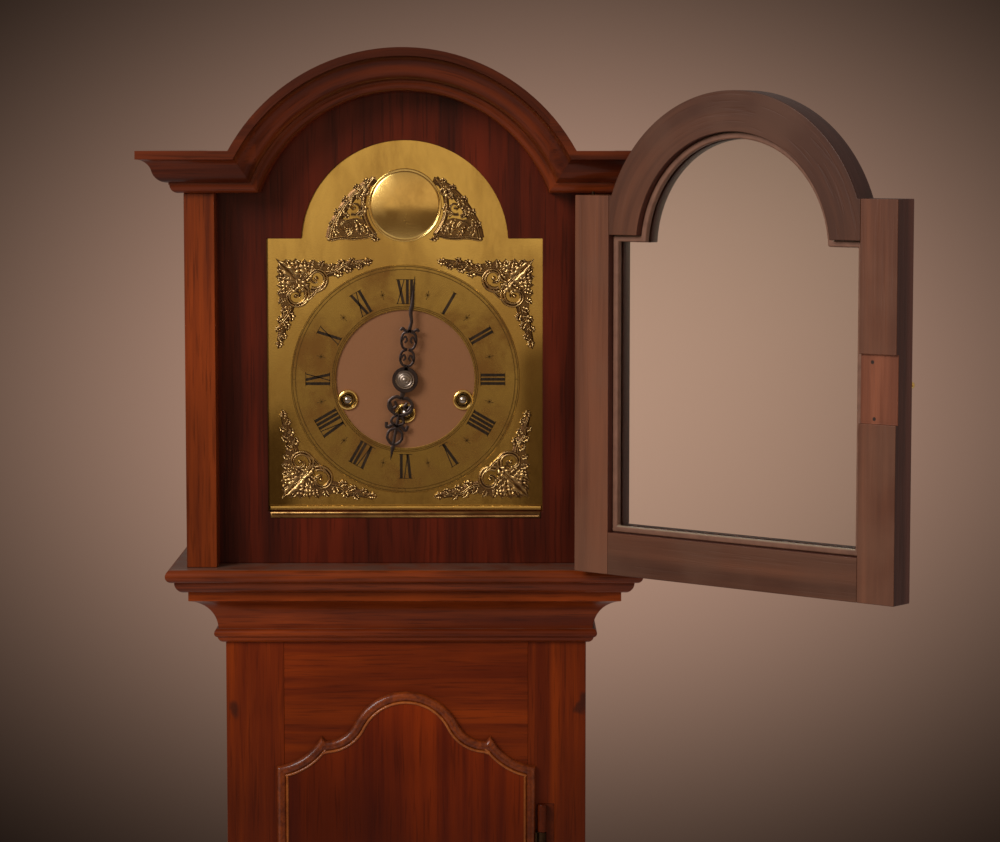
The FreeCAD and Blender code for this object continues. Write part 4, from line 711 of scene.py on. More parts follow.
# Winding rings and squares: turned brass collars pressed round the winding holes, a steel square in each.
# A bright brass strip runs along the dial's lower edge, pinned to its face.
MM = 0.001
on_face = np.array([0.0, dial_front])
winding_profile = np.array([(5.0, 0.0), (5.1, -0.8), (5.9, -1.7), (6.2, -1.95), (6.6, -1.9), (6.9, -1.65),
                            (7.1, -1.7), (7.4, -1.4), (7.5, -1.0), (7.5, 0.0)]) * MM + on_face
winding_places = [(-0.042, dial_z - 0.0151), (0.0, dial_z - 0.0247), (0.042, dial_z - 0.0151)]
polished_brass = metal("brass_polished", (0.86, 0.60, 0.20), (0.66, 0.43, 0.13), scale=50.0, rough=0.08)


def strip_outline(half, low, top):
    """The outline of a level strip on the front."""
    return arcs([(-half, low, 0), (half, low, 0), (half, top, 0), (-half, top, 0)])


edge_profile = np.array([(0.0, 0.0), (0.0, -1.2), (0.7, -2.0), (1.9, -2.2), (1.9, 0.0)]) * MM + on_face
edge_strip = edged(strip_outline(half=0.0995, low=1.1652, top=1.1690), edge_profile)
made("dial_edge_strip", edge_strip, polished_brass, "case", "dial_brass")
collars = [turned(winding_profile, spot, steps=48, ring=True) for spot in winding_places]
made("winding_collars", joined(collars), polished_brass, "case", "dial_brass", "winding_hole_rings")
cap_profile = np.array([(0.0, -57.0), (1.5, -56.7), (2.7, -55.9), (3.5, -54.7), (3.8, -53.3), (3.8, -52.0),
                        (0.0, -52.0)]) * MM
dark_steel = metal("steel_oiled", (0.40, 0.35, 0.30), (0.22, 0.18, 0.15), scale=160.0, rough=0.14)
for winder, spot in zip(("strike_barrel", "going_arbor", "chime_barrel"), winding_places):
    made(winder + "_cap", turned(cap_profile, spot, steps=40), dark_steel, winder, "steel")

# Boss in the arch: a domed disc of polished brass with a raised rim.
# It is left plain and riveted to the dial.
boss_at = (0.0, 1.388)
dome_radius, dome_base, dome_rise = 0.0247, 0.0012, 0.0030
slope = np.linspace(1, 0, 24)
boss_dome = np.stack([slope * dome_radius, dial_front - dome_base - dome_rise * (1 - slope ** 2)], 1)
boss_rim = np.array([(26.7, 0.0), (26.7, -0.9), (26.45, -1.3), (26.0, -1.5), (25.5, -1.35), (25.2, -1.0),
                     (24.9, -0.9)]) * MM + on_face
boss = turned(np.concatenate([boss_rim, boss_dome]), boss_at, steps=128)
made("arch_boss", boss, polished_brass, "case", "dial_brass", "dial_boss", sharp=50)


# Spandrels and arch ornaments: pierced castings of scrolls and leaves, one in each corner of the dial.
# They are cast brass, chased with a file, screwed on from behind, and gone brown in the hollows.

def through(points, steps=28):
    """A smooth curve through points, by the Catmull-Rom formula."""
    points = np.asarray(points, float)
    held = np.concatenate([2 * points[:1] - points[1:2], points, 2 * points[-1:] - points[-2:-1]])
    t = np.linspace(0, len(points) - 1, steps)
    index = np.minimum(t.astype(int), len(points) - 2)
    f = (t - index)[:, None]
    a, b, c, d = (held[index + shift] for shift in range(4))
    square, cube = 2 * a - 5 * b + 4 * c - d, 3 * b - a - 3 * c + d
    return 0.5 * (2 * b + (c - a) * f + square * f ** 2 + cube * f ** 3)


def volute(centre, outer, inner, start, end, steps):
    """A spiral about a centre: its radius shrinks evenly as its angle runs from start to end, in degrees."""
    share = np.linspace(0, 1, steps)
    angle = np.radians(start + (end - start) * share)
    radius = outer + (inner - outer) * share
    return np.asarray(centre, float) + np.stack([radius * np.cos(angle), radius * np.sin(angle)], 1)


def sideways(path):
    """Unit vectors across a flat curve, to its left."""
    ahead = np.gradient(path, axis=0)
    ahead /= np.maximum(np.linalg.norm(ahead, axis=1), 1e-9)[:, None]
    return np.stack([-ahead[:, 1], ahead[:, 0]], 1)


def bar_faces(rows, columns):
    """Faces of a bar swept along a curve: its sides and its two ends."""
    last = (rows - 1) * columns
    ends = [list(range(columns)), list(range(last, last + columns))[::-1]]
    return grid_faces(rows, columns, round_rows=False, round_columns=True) + ends


def rib(path, half, height, beads=1):
    """A cast rib along a curve: points (along, across, raised) of one or more half-rounds on a flat base.

    A half-round rises to 0.3 + 0.7 sqrt(1 - s^2) of the height, with s from -1 to 1 across it.
    """
    path = np.asarray(path, float)
    s = np.linspace(-1, 1, 6 * beads + 1)
    local = 2 * np.mod((s + 1) / 2 * beads, 1) - 1
    dome = 0.3 + 0.7 * np.sqrt(np.clip(1 - local ** 2, 0, 1))
    s = np.concatenate([[-1], s, [1]])
    dome = np.concatenate([[0], dome, [0]])
    across = s[None, :, None] * np.broadcast_to(half, len(path))[:, None, None]
    flat = path[:, None] + across * sideways(path)[:, None]
    raised = np.broadcast_to(height, len(path))[:, None] * dome[None]
    return np.concatenate([flat, raised[..., None]], -1), bar_faces(len(path), len(s))


def frond(start, tip, width, bow=0.0, height=1.7):
    """A cast leaf from its root to its tip: a bowed rib that swells, is notched three times and tapers.

    Its half width is 1.35 width (0.22 + sin(pi t^0.75)) (1 + 0.22 cos(8 pi t)) (1 - t^6) + 0.12.
    """
    start, tip = np.asarray(start, float), np.asarray(tip, float)
    t = np.linspace(0, 1, 22)
    notch = np.cos(8 * math.pi * t)
    across = np.array([-(tip - start)[1], (tip - start)[0]])
    path = start + t[:, None] * (tip - start) + (bow * np.sin(math.pi * t))[:, None] * across
    swell = 0.22 + np.sin(math.pi * t ** 0.75)
    half = 1.35 * width * swell * (1 + 0.22 * notch) * (1 - t ** 6) + 0.12
    return rib(path, half, height * (0.55 + 0.45 * np.sin(math.pi * t)) + 0.25 * notch, 2)


def pearl(centre, radius, height):
    """A small round bead on the casting."""
    rings, sides = 7, 14
    r = np.linspace(1, 0, rings)
    angle = np.linspace(0, 2 * math.pi, sides, endpoint=False)[:, None]
    flat_x = centre[0] + radius * r * np.cos(angle)
    flat_z = centre[1] + radius * r * np.sin(angle)
    raised = np.broadcast_to(height * np.sqrt(1 - r ** 2), flat_x.shape)
    points = np.stack([flat_x, flat_z, raised], -1)
    faces = grid_faces(sides, rings, round_rows=True, round_columns=False)
    return points, faces + [[row * rings for row in range(sides)]]


def web(outline, height=0.9):
    """The flat ground of a casting between its ribs: a plate of an outline."""
    outline = np.asarray(outline, float)
    count = len(outline)
    levels = [np.column_stack([outline, np.full(count, level)]) for level in (0.0, height)]
    sides = [[i, (i + 1) % count, count + (i + 1) % count, count + i] for i in range(count)]
    return np.concatenate(levels), sides + [list(range(count)), list(range(count, 2 * count))]


def stem(path, broad, fine, height, beads=1):
    """A rib that starts broad and ends fine."""
    return rib(path, np.linspace(broad, fine, len(path)), height, beads)


corner_half = [
    stem(volute((30.0, 15.0), 8.8, 2.4, 118, -290, 56), 2.5, 1.0, 2.1, 2),
    stem(through([(36, 10.5), (44, 8.6), (51, 6.0), (59, 4.6), (66, 3.2), (70, 2.6)]), 4.2, 1.8, 0.9),
    stem(through([(21.5, 21.0), (15.0, 15.5), (9.0, 11.0), (3.5, 9.5)]), 1.6, 0.5, 1.8, 2),
    stem(through([(37.5, 11.0), (44, 9.5), (51, 5.0), (59, 4.6), (65, 2.2), (70.5, 2.8)]), 1.5, 0.6, 1.9, 2),
    pearl((30.0, 15.0), 1.7, 2.4), pearl((46.0, 7.6), 1.3, 2.4), pearl((55.5, 4.8), 1.1, 2.2)]
corner_half += [frond(*leaf) for leaf in (
    ((18, 14), (14.5, 0.4), 2.3, 0.12, 2.2), ((22, 12), (21.5, 0.6), 2.0, -0.1, 2.0),
    ((13, 11), (7.5, 1.2), 1.8, 0.15, 1.9), ((26, 9), (28.5, 1.0), 1.7, -0.12, 1.8),
    ((33, 7.5), (36.5, 2.2), 1.5, -0.15, 1.7), ((20, 17), (25.5, 7.5), 1.6, 0.2, 2.0),
    ((40, 10.5), (44.5, 4.6), 1.7, -0.2, 1.9), ((43, 9.5), (50.5, 11.2), 1.8, 0.2, 1.8),
    ((47, 7.5), (51.5, 1.8), 1.7, -0.2, 2.0), ((50, 6), (57.5, 8.4), 1.7, 0.2, 1.8),
    ((55, 4.6), (58.5, 0.6), 1.5, -0.2, 1.8), ((59, 4.4), (65, 6.4), 1.4, 0.2, 1.7),
    ((64, 2.6), (71.5, 1.6), 1.8, 0.12, 2.2))]
upright_shrink = 0.93
edge_scallops = [(4.5, 3.4), (7.5, 1.4), (11, 4.2), (14.5, 0.8), (18, 4.0), (21.5, 1.0), (25, 4.4),
                 (28.5, 1.6), (33, 4.6), (38, 4)]
corner_ground = [(0.8, 0.8)] + edge_scallops
corner_ground += [(40, 9), (36, 9.5), (30, 8), (25, 10), (22.5, 14), (22, 20)]
corner_ground += [(20, 22), (14, 22.5), (10, 25), (8, 30), (9.5, 36), (9, 40)]
corner_ground += [(up, upright_shrink * along) for along, up in reversed(edge_scallops)]
corner_middle = [
    web(corner_ground), frond((19, 19), (0.6, 0.6), 3.0, 0.0, 2.4),
    frond((24.5, 24.5), (14.5, 14.5), 2.6, 0.0, 2.4), pearl((20.5, 20.5), 2.0, 2.7),
    rib(through([(33.5, 20.5), (27.5, 27.0), (20.5, 33.5)], 24), 1.3, 1.9, 2)]


def swapped(shape):
    """A casting's rib mirrored to the upright arm of the corner, which is a little shorter."""
    points, faces = shape
    return points[..., [1, 0, 2]] * np.array([1.0, upright_shrink, 1.0]), faces


def on_plate(casting, spot, across, upward):
    """A casting, in millimetres, set on the dial from an (x, z) spot; signs turn it over either way."""
    points, faces = casting
    along, up, raised = points.reshape(-1, 3).T * MM
    x, z = spot[0] + across * along, spot[1] + upward * up
    return np.stack([x, dial_front - np.maximum(raised, 0), z], 1), faces


outer_curve = through([(53.5, 2.5), (52, 10), (48, 18.5), (42, 28), (34, 37), (26, 42.5), (20.5, 44.6)])
boss_side = volute((0, 26), 30.2, 30.2, -42, 42, 28)
arch_ground = [(54, 1), (52, 10), (49, 17), (42, 16), (35, 17.5), (30, 16), (27, 10), (24, 5), (30, 2),
               (46, 1.5)]
arch_half = [
    web(arch_ground), stem(outer_curve, 4.2, 2.6, 0.9), stem(outer_curve, 1.7, 0.7, 2.0, 2),
    rib(boss_side, 2.0, 0.9), rib(boss_side, 1.0, 1.7),
    stem(through([(54, 1.6), (46, 3.0), (37, 2.4), (28, 3.4), (20.5, 6.0)]), 1.6, 1.0, 1.9, 2),
    stem(volute((43.5, 10.5), 6.0, 1.6, 250, -130, 44), 1.3, 0.7, 2.0, 2), pearl((43.5, 10.5), 1.5, 2.4),
    stem(volute((36.5, 24.5), 5.0, 1.5, 300, -60, 40), 1.2, 0.6, 2.0, 2), pearl((36.5, 24.5), 1.2, 2.2),
    stem(volute((28.5, 37), 3.2, 1.0, 290, -60, 32), 1.0, 0.5, 1.8), pearl((55.0, 2.0), 1.7, 2.2)]
arch_half += [frond(*leaf) for leaf in (
    ((33, 31), (26.5, 41), 2.2, -0.1, 2.0), ((41, 24), (37, 33), 2.0, -0.15, 2.0),
    ((45, 19), (43.5, 27), 1.8, -0.15, 1.9), ((31, 20), (35, 19.5), 1.6, 0.1, 1.8),
    ((30.5, 34), (34.5, 30), 1.5, 0.2, 1.8), ((50, 9), (47, 17), 1.6, -0.2, 1.9),
    ((50.5, 14), (54.5, 9.5), 1.5, 0.2), ((46, 22), (51.5, 19), 1.5, 0.2), ((40, 30.5), (46, 29), 1.4, 0.2),
    ((32, 38.5), (38, 38.5), 1.3, 0.2), ((25, 43), (31, 43.8), 1.2, 0.15),
    ((33, 5), (37.5, 17), 2.0, 0.15, 2.2), ((28, 5.5), (31.5, 13), 1.7, 0.15, 2.0),
    ((38, 4), (40.5, 12), 1.6, -0.2, 2.0), ((31.5, 19), (31.5, 30), 1.3, 0.2),
    ((24, 5), (17.5, 2.0), 1.3, 0.2), ((47, 4), (49.5, 11.5), 1.4, -0.2), ((41, 17), (46, 20), 1.2, 0.2))]
corner_casting = joined(corner_half + [swapped(shape) for shape in corner_half] + corner_middle)
arch_casting = joined(arch_half)
corner_x, corner_lean, corner_z, arch_foot = 0.0932, 0.0013, 0.0885, 1.3615
cast_parts = []
for side in (-1, 1):
    for level in (-1, 1):
        corner = (side * (corner_x + corner_lean * level), dial_z + level * corner_z)
        cast_parts.append(on_plate(corner_casting, corner, -side, -level))
cast_parts += [on_plate(arch_casting, (0.0, arch_foot), side, 1) for side in (-1, 1)]


def casting_finish():
    """Cast brass: bright where the relief stands highest, coppery brown low down."""
    bright_relief, brown_relief = 0.0016, 0.0004
    finish, shader = new_finish("brass_casting", 0.3, metallic=1.0)
    skin = applied(tarnish_group, place(finish), (0.46, 0.30, 0.120), (0.25, 0.145, 0.062), scale=160.0)
    low = spread(axes(place(finish))[1], dial_front - bright_relief, dial_front - brown_relief)
    feed(shader, ("Base Color", blended(low, skin["Color"], (0.105, 0.052, 0.022))),
         ("Roughness", maths("ADD", skin["Roughness"], 0.14)))
    bumped(shader, skin["Height"], 0.25)
    return finish


made("spandrel_castings", joined(cast_parts), casting_finish(), "case", "cast_brass", "spandrels", sharp=60)


# Hands: sawn and filed from blued steel strip, openwork scrolls up to a cross, then a plain point.
# The hour hand is pushed on its pipe, the minute hand on its square under a domed collet.
hand_arris = 0.2


def strap(path, half, front, back):
    """A flat strip along a curve, its front arrises broken: points (along, out, y)."""
    path = np.asarray(path, float)
    across = np.array([-1, -1, -0.7, 0.7, 1, 1])[None] * np.broadcast_to(half, len(path))[:, None]
    level = np.array([back, front + hand_arris, front, front, front + hand_arris, back])
    flat = path[:, None] + across[..., None] * sideways(path)[:, None]
    points = np.concatenate([flat, np.broadcast_to(level, across.shape)[..., None]], -1)
    return points, bar_faces(len(path), len(level))


def both_sides(shape):
    """A shape and its mirror image across the hand's middle line."""
    points, faces = shape
    return [shape, (points * np.array([-1.0, 1.0, 1.0]), faces)]


def hand_boss(outer, inner, front, back):
    """The flat ring of a hand about its arbor."""
    section = [(outer, back), (outer, front + hand_arris), (outer - hand_arris, front), (inner, front),
               (inner, back)]
    points, faces = turned(section, (0, 0), steps=48, ring=True)
    return points[..., [0, 2, 1]], faces


def on_dial(parts, clock_angle):
    """A hand, in millimetres with its point up, set on the dial's centre at a clock angle in degrees."""
    points, faces = joined(parts)
    along, out, level = points.T * MM
    turn = math.radians(clock_angle)
    x = along * math.cos(turn) + out * math.sin(turn)
    z = dial_z - along * math.sin(turn) + out * math.cos(turn)
    return np.stack([x, level, z], 1), faces


def hand(level, boss, neck, neck_half, scrolls, point, point_half):
    """Parts of a hand between its front and back levels: boss, neck, scrolls on both sides, and point."""
    parts = [hand_boss(*boss, *level), strap(through(neck, 8), np.linspace(*neck_half, 8), *level)]
    for curve, half in scrolls:
        parts += both_sides(strap(through(curve, 22), half, *level))
    return parts + [strap(through(point, len(point_half)), point_half, *level)]


minute_parts = hand(
    level=(-60.7, -59.7), boss=(9.4, 2.6), neck=[(0, 5.8), (0, 8), (0, 10.5)], neck_half=(2.2, 1.3),
    scrolls=[([(0.3, 10), (3.2, 11), (5.0, 15), (4.0, 20), (0.6, 22)], 0.9),
             ([(0.6, 22), (3.8, 23.4), (5.4, 28.5), (4.2, 33.5), (0.3, 35)], 0.9),
             ([(4.9, 14), (2.6, 18), (1.3, 15.8), (2.6, 13.8)], 0.7),
             ([(5.3, 27.5), (2.8, 31.4), (1.4, 28.8), (2.8, 26.8)], 0.7),
             ([(0, 36.0), (2.8, 35.6), (5.4, 37.2), (6.6, 35.6)], 1.0)],
    point=[(0, 34.5), (0, 38), (0.7, 43), (-0.5, 49), (0, 55), (0, 66), (0, 75.4)],
    point_half=np.concatenate([np.linspace(1.4, 1.15, 14), np.linspace(1.15, 1.5, 10),
                               np.linspace(1.5, 0.12, 16)]))
hour_parts = hand(
    level=(-58.2, -57.2), boss=(8.8, 3.2), neck=[(0, 6.8), (0, 10), (0, 14.5)], neck_half=(2.3, 1.4),
    scrolls=[([(0.3, 14), (4.5, 13.6), (8.4, 17.5), (7.8, 22.5), (3.8, 25.5), (0.6, 27)], 1.15),
             ([(8.1, 18), (5.4, 22.4), (2.8, 20.0), (4.6, 16.8)], 0.95),
             ([(0.6, 27), (3.6, 28.6), (4.4, 32), (0.6, 34.4)], 0.95),
             ([(0, 35), (3.2, 34.2), (6.8, 36.6), (8.0, 33.0)], 1.15),
             ([(0.6, 36.4), (4.4, 38.6), (5.4, 43.5), (3.0, 47), (0.5, 48.5)], 1.0)],
    point=[(0, 26), (0, 36), (0, 47), (0, 53), (0, 59.9)],
    point_half=np.concatenate([np.full(18, 1.1), np.linspace(1.6, 0.12, 12)]))
blue_steel = metal("steel_blued", (0.060, 0.045, 0.042), (0.030, 0.020, 0.018), scale=120.0, rough=0.3)
minute_scrolls = on_dial(minute_parts, clock_angle=5.5)
hour_scrolls = on_dial(hour_parts, clock_angle=190.5)
made("minute_hand_scrolls", minute_scrolls, blue_steel, "centre", "blued_steel", "minute_hand")
made("hour_hand_scrolls", hour_scrolls, blue_steel, "hour", "blued_steel", "hour_hand")
collet = np.array([(7.0, -60.7), (7.0, -61.2), (6.4, -61.9), (5.9, -61.8), (5.4, -62.5), (4.6, -62.9),
                   (4.2, -62.7), (3.4, -63.4), (2.2, -63.7), (1.9, -63.6), (1.2, -64.1), (0.0, -64.2),
                   (0.0, -60.7)]) * MM
collet_steel = metal("steel_collet", (0.30, 0.24, 0.195), (0.17, 0.13, 0.10), scale=90.0, rough=0.26)
made("hand_collet", turned(collet, (0, dial_z), steps=64), collet_steel, "centre", "blued_steel", "hand_nut")


# Hood: base frame, posts, sides, arched front board and moulded arched cornice, all polished mahogany.
# It is glued up as one box that slides off over the dial; the dial mask is tacked inside its front.

def round_arch(spot, arch_z=1.3595, fibre=0.006):
    """A vector that runs round the hood's arch: the angle drawn out along the fibres, y, and the radius."""
    parts = axes(spot)
    height = maths("SUBTRACT", parts[2], arch_z)
    angle = times(maths("ARCTAN2", parts[0], height), fibre)
    radius = length(packed(parts[0], 0.0, height))
    return packed(angle, parts[1], radius)


def arched_timber(name, dark, light, coat, straight, figure=34.0, rough=0.28):
    """A timber whose fibres run round the arch, and level beyond a half width."""
    finish, shader = new_finish(name, rough, coat, coat_rough=0.12, shine=0.1)
    level = stretched(place(finish), GRAIN_STRETCH["x"])
    beyond = maths("GREATER_THAN", maths("ABSOLUTE", axes(place(finish))[0]), straight)
    feeds = ((0, beyond), (4, round_arch(place(finish))), (5, level))
    fibres = step("Mix", *feeds, data_type="VECTOR").outputs[1]
    grained(finish, shader, fibres, dark, light, figure, rough)
    return finish


hood_up = timber("mahogany_hood_upright", "z", (0.060, 0.0076, 0.0014), (0.180, 0.0285, 0.0040),
                 figure=34.0, rough=0.28, coat=0.15)
hood_level = timber("mahogany_hood_level", "level", (0.062, 0.0082, 0.0012), (0.190, 0.0295, 0.0036),
                    figure=34.0, rough=0.29, coat=0.2)
hood_arch = arched_timber("mahogany_hood_arch", RED_DARK, RED_LIGHT, coat=0.3, straight=1.0)
cornice_wood = arched_timber("mahogany_cornice", (0.047, 0.0070, 0.0018), (0.134, 0.0215, 0.0046),
                             coat=0.12, straight=0.104)
# The mask's mahogany is darker than the case's: painted shade for its place inside the hood.
mask_wood_painted_shade = timber("mahogany_mask_painted_shade", "z", (0.034, 0.0038, 0.0012), (0.105, 0.0115, 0.0032),
                   figure=26.0, rough=0.3, coat=0.1)
dusted(hood_level)
eased("hood_base_frame", "hood_base_moulding", hood_level, width=0.0004)
eased("hood_posts", "hood_post_pair", hood_up)
eased("hood_sides", "hood_side_panels", hood_up)
eased("hood_arch_board", "hood_arch_front", hood_arch)
eased("hood_cornice", "hood_cornice_moulding", cornice_wood, width=0.0005)
eased("dial_mask", "dial_mask_wood", mask_wood_painted_shade, width=0.0006)
eased("hood_pivot_pins", "hood_door_pins", dark_brass, width=0.0003)
mask_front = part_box("dial_mask")[0][1]
sill_profile = np.array([(0.0, 0.2), (0.0, -0.5), (0.4, -0.9), (1.0, -1.0), (1.4, -0.6), (1.9, -0.5),
                         (1.9, 0.2)]) * MM + np.array([0.0, mask_front])
sill_brass = metal("brass_sill", (0.27, 0.150, 0.050), (0.13, 0.062, 0.022), scale=60.0, rough=0.3)
sill_strip = edged(strip_outline(half=0.0985, low=1.1604, top=1.1648), sill_profile)
made("mask_sill_strip", sill_strip, sill_brass, "hood", "brass_fittings")


# Hood door: two stiles, a bottom rail and an arched head of mahogany, jointed and glued round one pane.
# It stands open on its pivots, its polished face turned away and its plain inside to the front.
pivot = (0.1355, -0.0895, 0.0)
open_angle = math.radians(140)
door_front, door_back = -0.088, -0.068
recess_low, recess_top, recess_inner, recess_edge = 1.248, 1.294, -0.1042, 0.0004


def shut(finish):
    """Where a point of the door would be with the door shut."""
    feeds = ((0, place(finish)), ("Center", pivot), ("Angle", -open_angle))
    return step("VectorRotate", *feeds, rotation_type="Z_AXIS").outputs[0]


def lock_recess(closed, parts, tone, colour):
    """A colour with the bare floor of the lock's recess and the painted shade of its two screw holes laid
    over it.
    """
    holes, hole_radius = ((-0.1142, 1.2888), (-0.1160, 1.2512)), 0.0013
    deepest, deep, shallow, shallowest = 0.0034, 0.0028, 0.0012, 0.0004
    across = spread(parts[0], recess_inner + recess_edge, recess_inner)
    above = times(spread(parts[2], recess_low - recess_edge, recess_low),
                  spread(parts[2], recess_top + recess_edge, recess_top))
    floor = times(spread(parts[1], door_back - deepest, door_back - deep),
                  spread(parts[1], door_back - shallowest, door_back - shallow))
    unpolished = times(times(across, above), floor)
    raw = blended(tone, (0.110, 0.029, 0.0115), (0.240, 0.072, 0.031))
    colour = blended(unpolished, colour, raw)
    # Painted shade: a dark spot in each screw hole.
    for x, z in holes:
        painted_hole_shade = oval(closed, x, z, hole_radius, hole_radius, 0.7)
        colour = blended(times(unpolished, painted_hole_shade), colour, (0.020, 0.009, 0.006))
    return colour


def door_timber(name, along, light_and_shade_factor, recess):
    """Door mahogany: polished red on its face and edges, dull inside, bare in the lock's recess.

    A factor on the inside's shades paints light and shade on each member, for how the light falls on it.
    """
    dull_rough, face_rough, dull_coat, face_coat = 0.48, 0.27, 0.04, 0.35
    fade_from, inside_full, face_full = 0.0006, 0.0002, 0.0003
    finish, shader = new_finish(name, 0.3, 0.3, coat_rough=0.12, shine=0.25)
    closed = shut(finish)
    parts = axes(closed)
    fibres = round_arch(closed) if along == "arch" else stretched(closed, GRAIN_STRETCH[along])
    wood = applied(grain_group, fibres, RED_DARK, RED_LIGHT, scale=26.0)
    inside = spread(parts[1], door_back - fade_from, door_back - inside_full)
    shades = light_and_shade_factor * np.array([(0.056, 0.0168, 0.0070), (0.130, 0.0420, 0.0182), (0.104, 0.0440, 0.0240)])
    low, high, rubbed = [tuple(shade) for shade in shades.tolist()]
    blotches = spread(noise(place(finish), scale=14.0, detail=4.0), 0.42, 0.68, 0.0, 0.5)
    dull = blended(blotches, blended(wood["Tone"], low, high), rubbed)
    edge = blended(wood["Tone"], (0.030, 0.0075, 0.0045), (0.075, 0.021, 0.0125))
    faced = spread(parts[1], door_front + fade_from, door_front + face_full)
    colour = blended(inside, blended(faced, edge, wood["Color"]), dull)
    if recess:
        colour = lock_recess(closed, parts, wood["Tone"], colour)
    feed(shader, ("Base Color", colour), ("Roughness", spread(faced, 0.0, 1.0, dull_rough, face_rough)),
         ("Coat Weight", spread(faced, 0.0, 1.0, dull_coat, face_coat)))
    bumped(shader, wood["Height"], 0.2)
    return finish


# The last value of each row paints light or shade on that member's inside: the stiles lighter, the bottom
# rail and arch head darker.
for member, wood_name, along, light_and_shade_factor in (
        ("door_hinge_stile", "mahogany_door_upright", "z", 1.12),
        ("door_lock_stile", "mahogany_door_lock", "z", 1.25),
        ("door_bottom_rail", "mahogany_door_crosswise", "x", 0.82),
        ("door_arch_head", "mahogany_door_arch", "arch", 0.86)):
    door_wood = door_timber(wood_name, along, light_and_shade_factor, recess=member == "door_lock_stile")
    eased("hood_" + member, member + "_wood", door_wood, width=0.0006)

# Pane and its bead: thin old sheet glass, clear and a little rippled, and a run of brown putty.
# The pane is bedded in the door's rebate and held by the putty.
pane, pane_shader = new_finish("glass_sheet", 0.02)
feed(pane_shader, ("Base Color", (0.96, 0.98, 0.96, 1.0)), ("Transmission Weight", 1.0), ("IOR", 1.45))
bumped(pane_shader, noise(place(pane), scale=24.0, detail=1.0), strength=0.03, depth=0.001)
eased("hood_door_glass", "door_pane", pane, width=0.0003)
putty_brown, putty_shader = new_finish("putty_brown", 0.55, shine=0.3)
putty_tone = noise(place(putty_brown), scale=160.0, detail=4.0)
putty_bare = blended(putty_tone, (0.086, 0.034, 0.019), (0.200, 0.090, 0.053))
putty_dust = spread(upness(putty_brown), 0.3, 0.8)
feed(putty_shader, ("Base Color", blended(putty_dust, putty_bare, (0.24, 0.165, 0.105))))
bumped(putty_shader, putty_tone, 0.3)
eased("hood_door_glazing_bead", "door_putty_bead", putty_brown, width=0.0012)

# Pivot straps and pull of the hood door: cast brass.
# The straps are let into the hinge stile's ends, and the pull is screwed into the lock stile's face.
eased("hood_door_pivot_straps", "door_pivot_straps", fitting_brass, width=0.0003)
eased("hood_door_pull", "door_pull_knob", polished_brass, width=0.0006)

# Studio: a pale floor and a warm surround, brightest in a pool of light behind the clock.
# One broad lamp stands at the left, a soft one at the right and a dim one behind.
bpy.ops.mesh.primitive_plane_add(size=6.0)
ground = bpy.context.object
ground.name = "studio_floor"
ground_paint, ground_shader = new_finish("floor_pale", 0.8)
feed(ground_shader, ("Base Color", (0.62, 0.56, 0.52, 1.0)))
ground.data.materials.append(ground_paint)

# The pool's brightness is exp(-q - 0.15 q^2), where q is the squared distance in its half sizes.
POOL_X, POOL_Z, POOL_WIDE, POOL_HIGH, POOL_FALL = 0.008, -0.083, 0.174, 0.1245, 0.15
WALL_WARM, WALL_FAR, ROOM_LIGHT = (0.495, 0.300, 0.216), (0.36, 0.30, 0.26), (0.42, 0.40, 0.38)
ROOM_LOW, ROOM_BRIGHT, ROOM_TOP = (0.125, 0.078, 0.046), (0.64, 0.48, 0.31), (0.30, 0.24, 0.19)
surround = bpy.data.worlds.new("studio_surround")
surround.use_nodes = True
sky = surround.node_tree
seen = put(sky, "LightPath").outputs
glossy = seen["Is Glossy Ray"]
bounced = maths("MAXIMUM", glossy, seen["Is Transmission Ray"])
shown = maths("MAXIMUM", seen["Is Camera Ray"], bounced)
facing = axes(put(sky, "TexCoord").outputs["Generated"])
behind = maths("MAXIMUM", facing[1], 0.05)
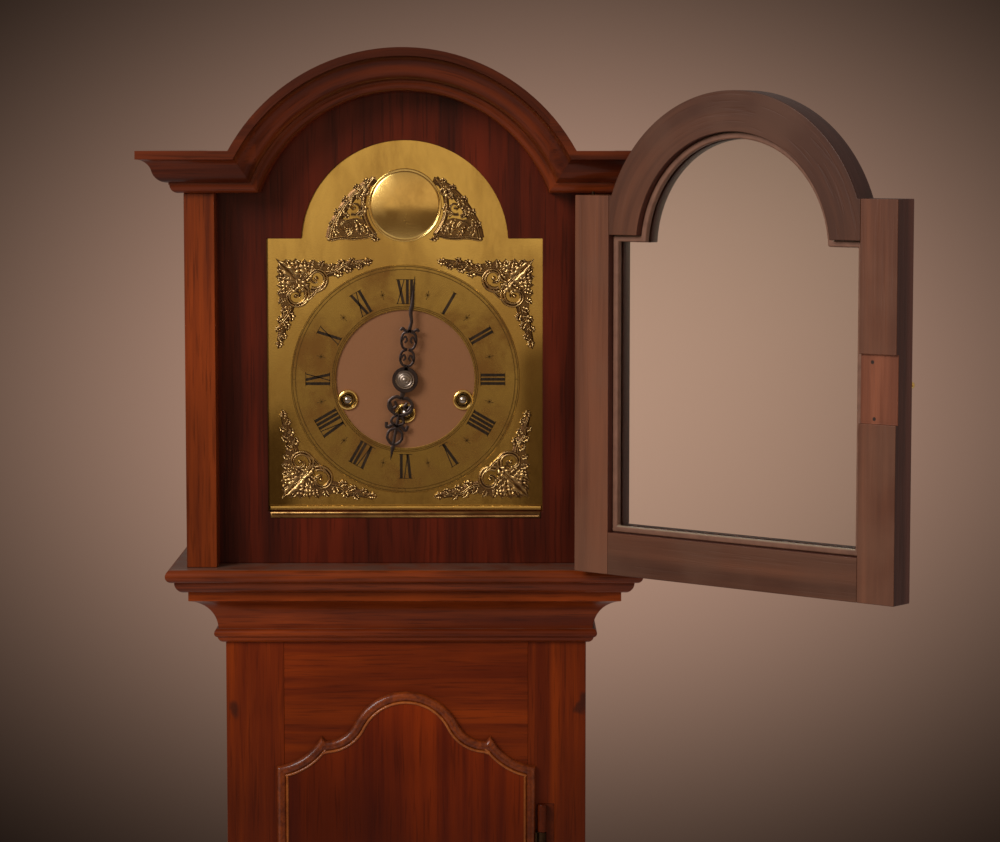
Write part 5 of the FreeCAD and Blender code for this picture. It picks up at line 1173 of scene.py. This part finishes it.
across = maths("DIVIDE", facing[0], behind)
upward = maths("DIVIDE", facing[2], behind)
wide = maths("MULTIPLY_ADD", across, 1 / POOL_WIDE, -POOL_X / POOL_WIDE)
high = maths("MULTIPLY_ADD", upward, 1 / POOL_HIGH, -POOL_Z / POOL_HIGH)
reach = maths("ADD", times(wide, wide), times(high, high))
pool = maths("EXPONENT", times(reach, maths("MULTIPLY_ADD", reach, -POOL_FALL, -1.0)))
wall = blended(spread(reach, 2.9, 9.0), scaled(WALL_WARM, pool), WALL_FAR)
room = blended(spread(facing[2], -0.105, -0.015), ROOM_LOW, ROOM_BRIGHT)
room = blended(spread(facing[2], 0.2, 0.6), room, ROOM_TOP)
mirrored = times(glossy, spread(facing[1], 0.1, -0.35))
tint = blended(shown, ROOM_LIGHT, blended(mirrored, wall, room))
feed(sky.nodes["Background"], ("Color", tint))
bpy.context.scene.world = surround


def lamp(name, spot, aim, size, power, mirrored=True):
    """A square soft lamp at a spot, aimed at a point, with or without highlights of its own."""
    light = bpy.data.lights.new(name, "AREA")
    light.size = size
    light.energy = power
    holder = bpy.data.objects.new(name, light)
    holder.location = spot
    holder.visible_glossy = mirrored
    holder.rotation_euler = (Vector(aim) - Vector(spot)).to_track_quat("-Z", "Y").to_euler()
    bpy.context.scene.collection.objects.link(holder)


lamp("key_left", (-1.25, -1.55, 2.25), (0.0, 0.0, 1.25), size=0.9, power=40.0)
lamp("fill_right", (1.7, -1.9, 1.5), (0.1, 0.0, 1.2), size=1.4, power=12.0, mirrored=False)
lamp("rim_back", (0.6, 1.9, 2.1), (0.0, 0.0, 1.1), size=1.2, power=5.0, mirrored=False)

lens = bpy.data.cameras.new("photo_camera")
lens.lens = 109.3
lens.sensor_width = 36.0
viewer = bpy.data.objects.new("photo_camera", lens)
viewer.location = (0.069, -2.2615, 1.430)
viewer.rotation_euler = (math.radians(84.845), 0.0, 0.0)
bpy.context.scene.collection.objects.link(viewer)
bpy.context.scene.camera = viewer
bpy.context.scene.view_settings.view_transform = "Standard"
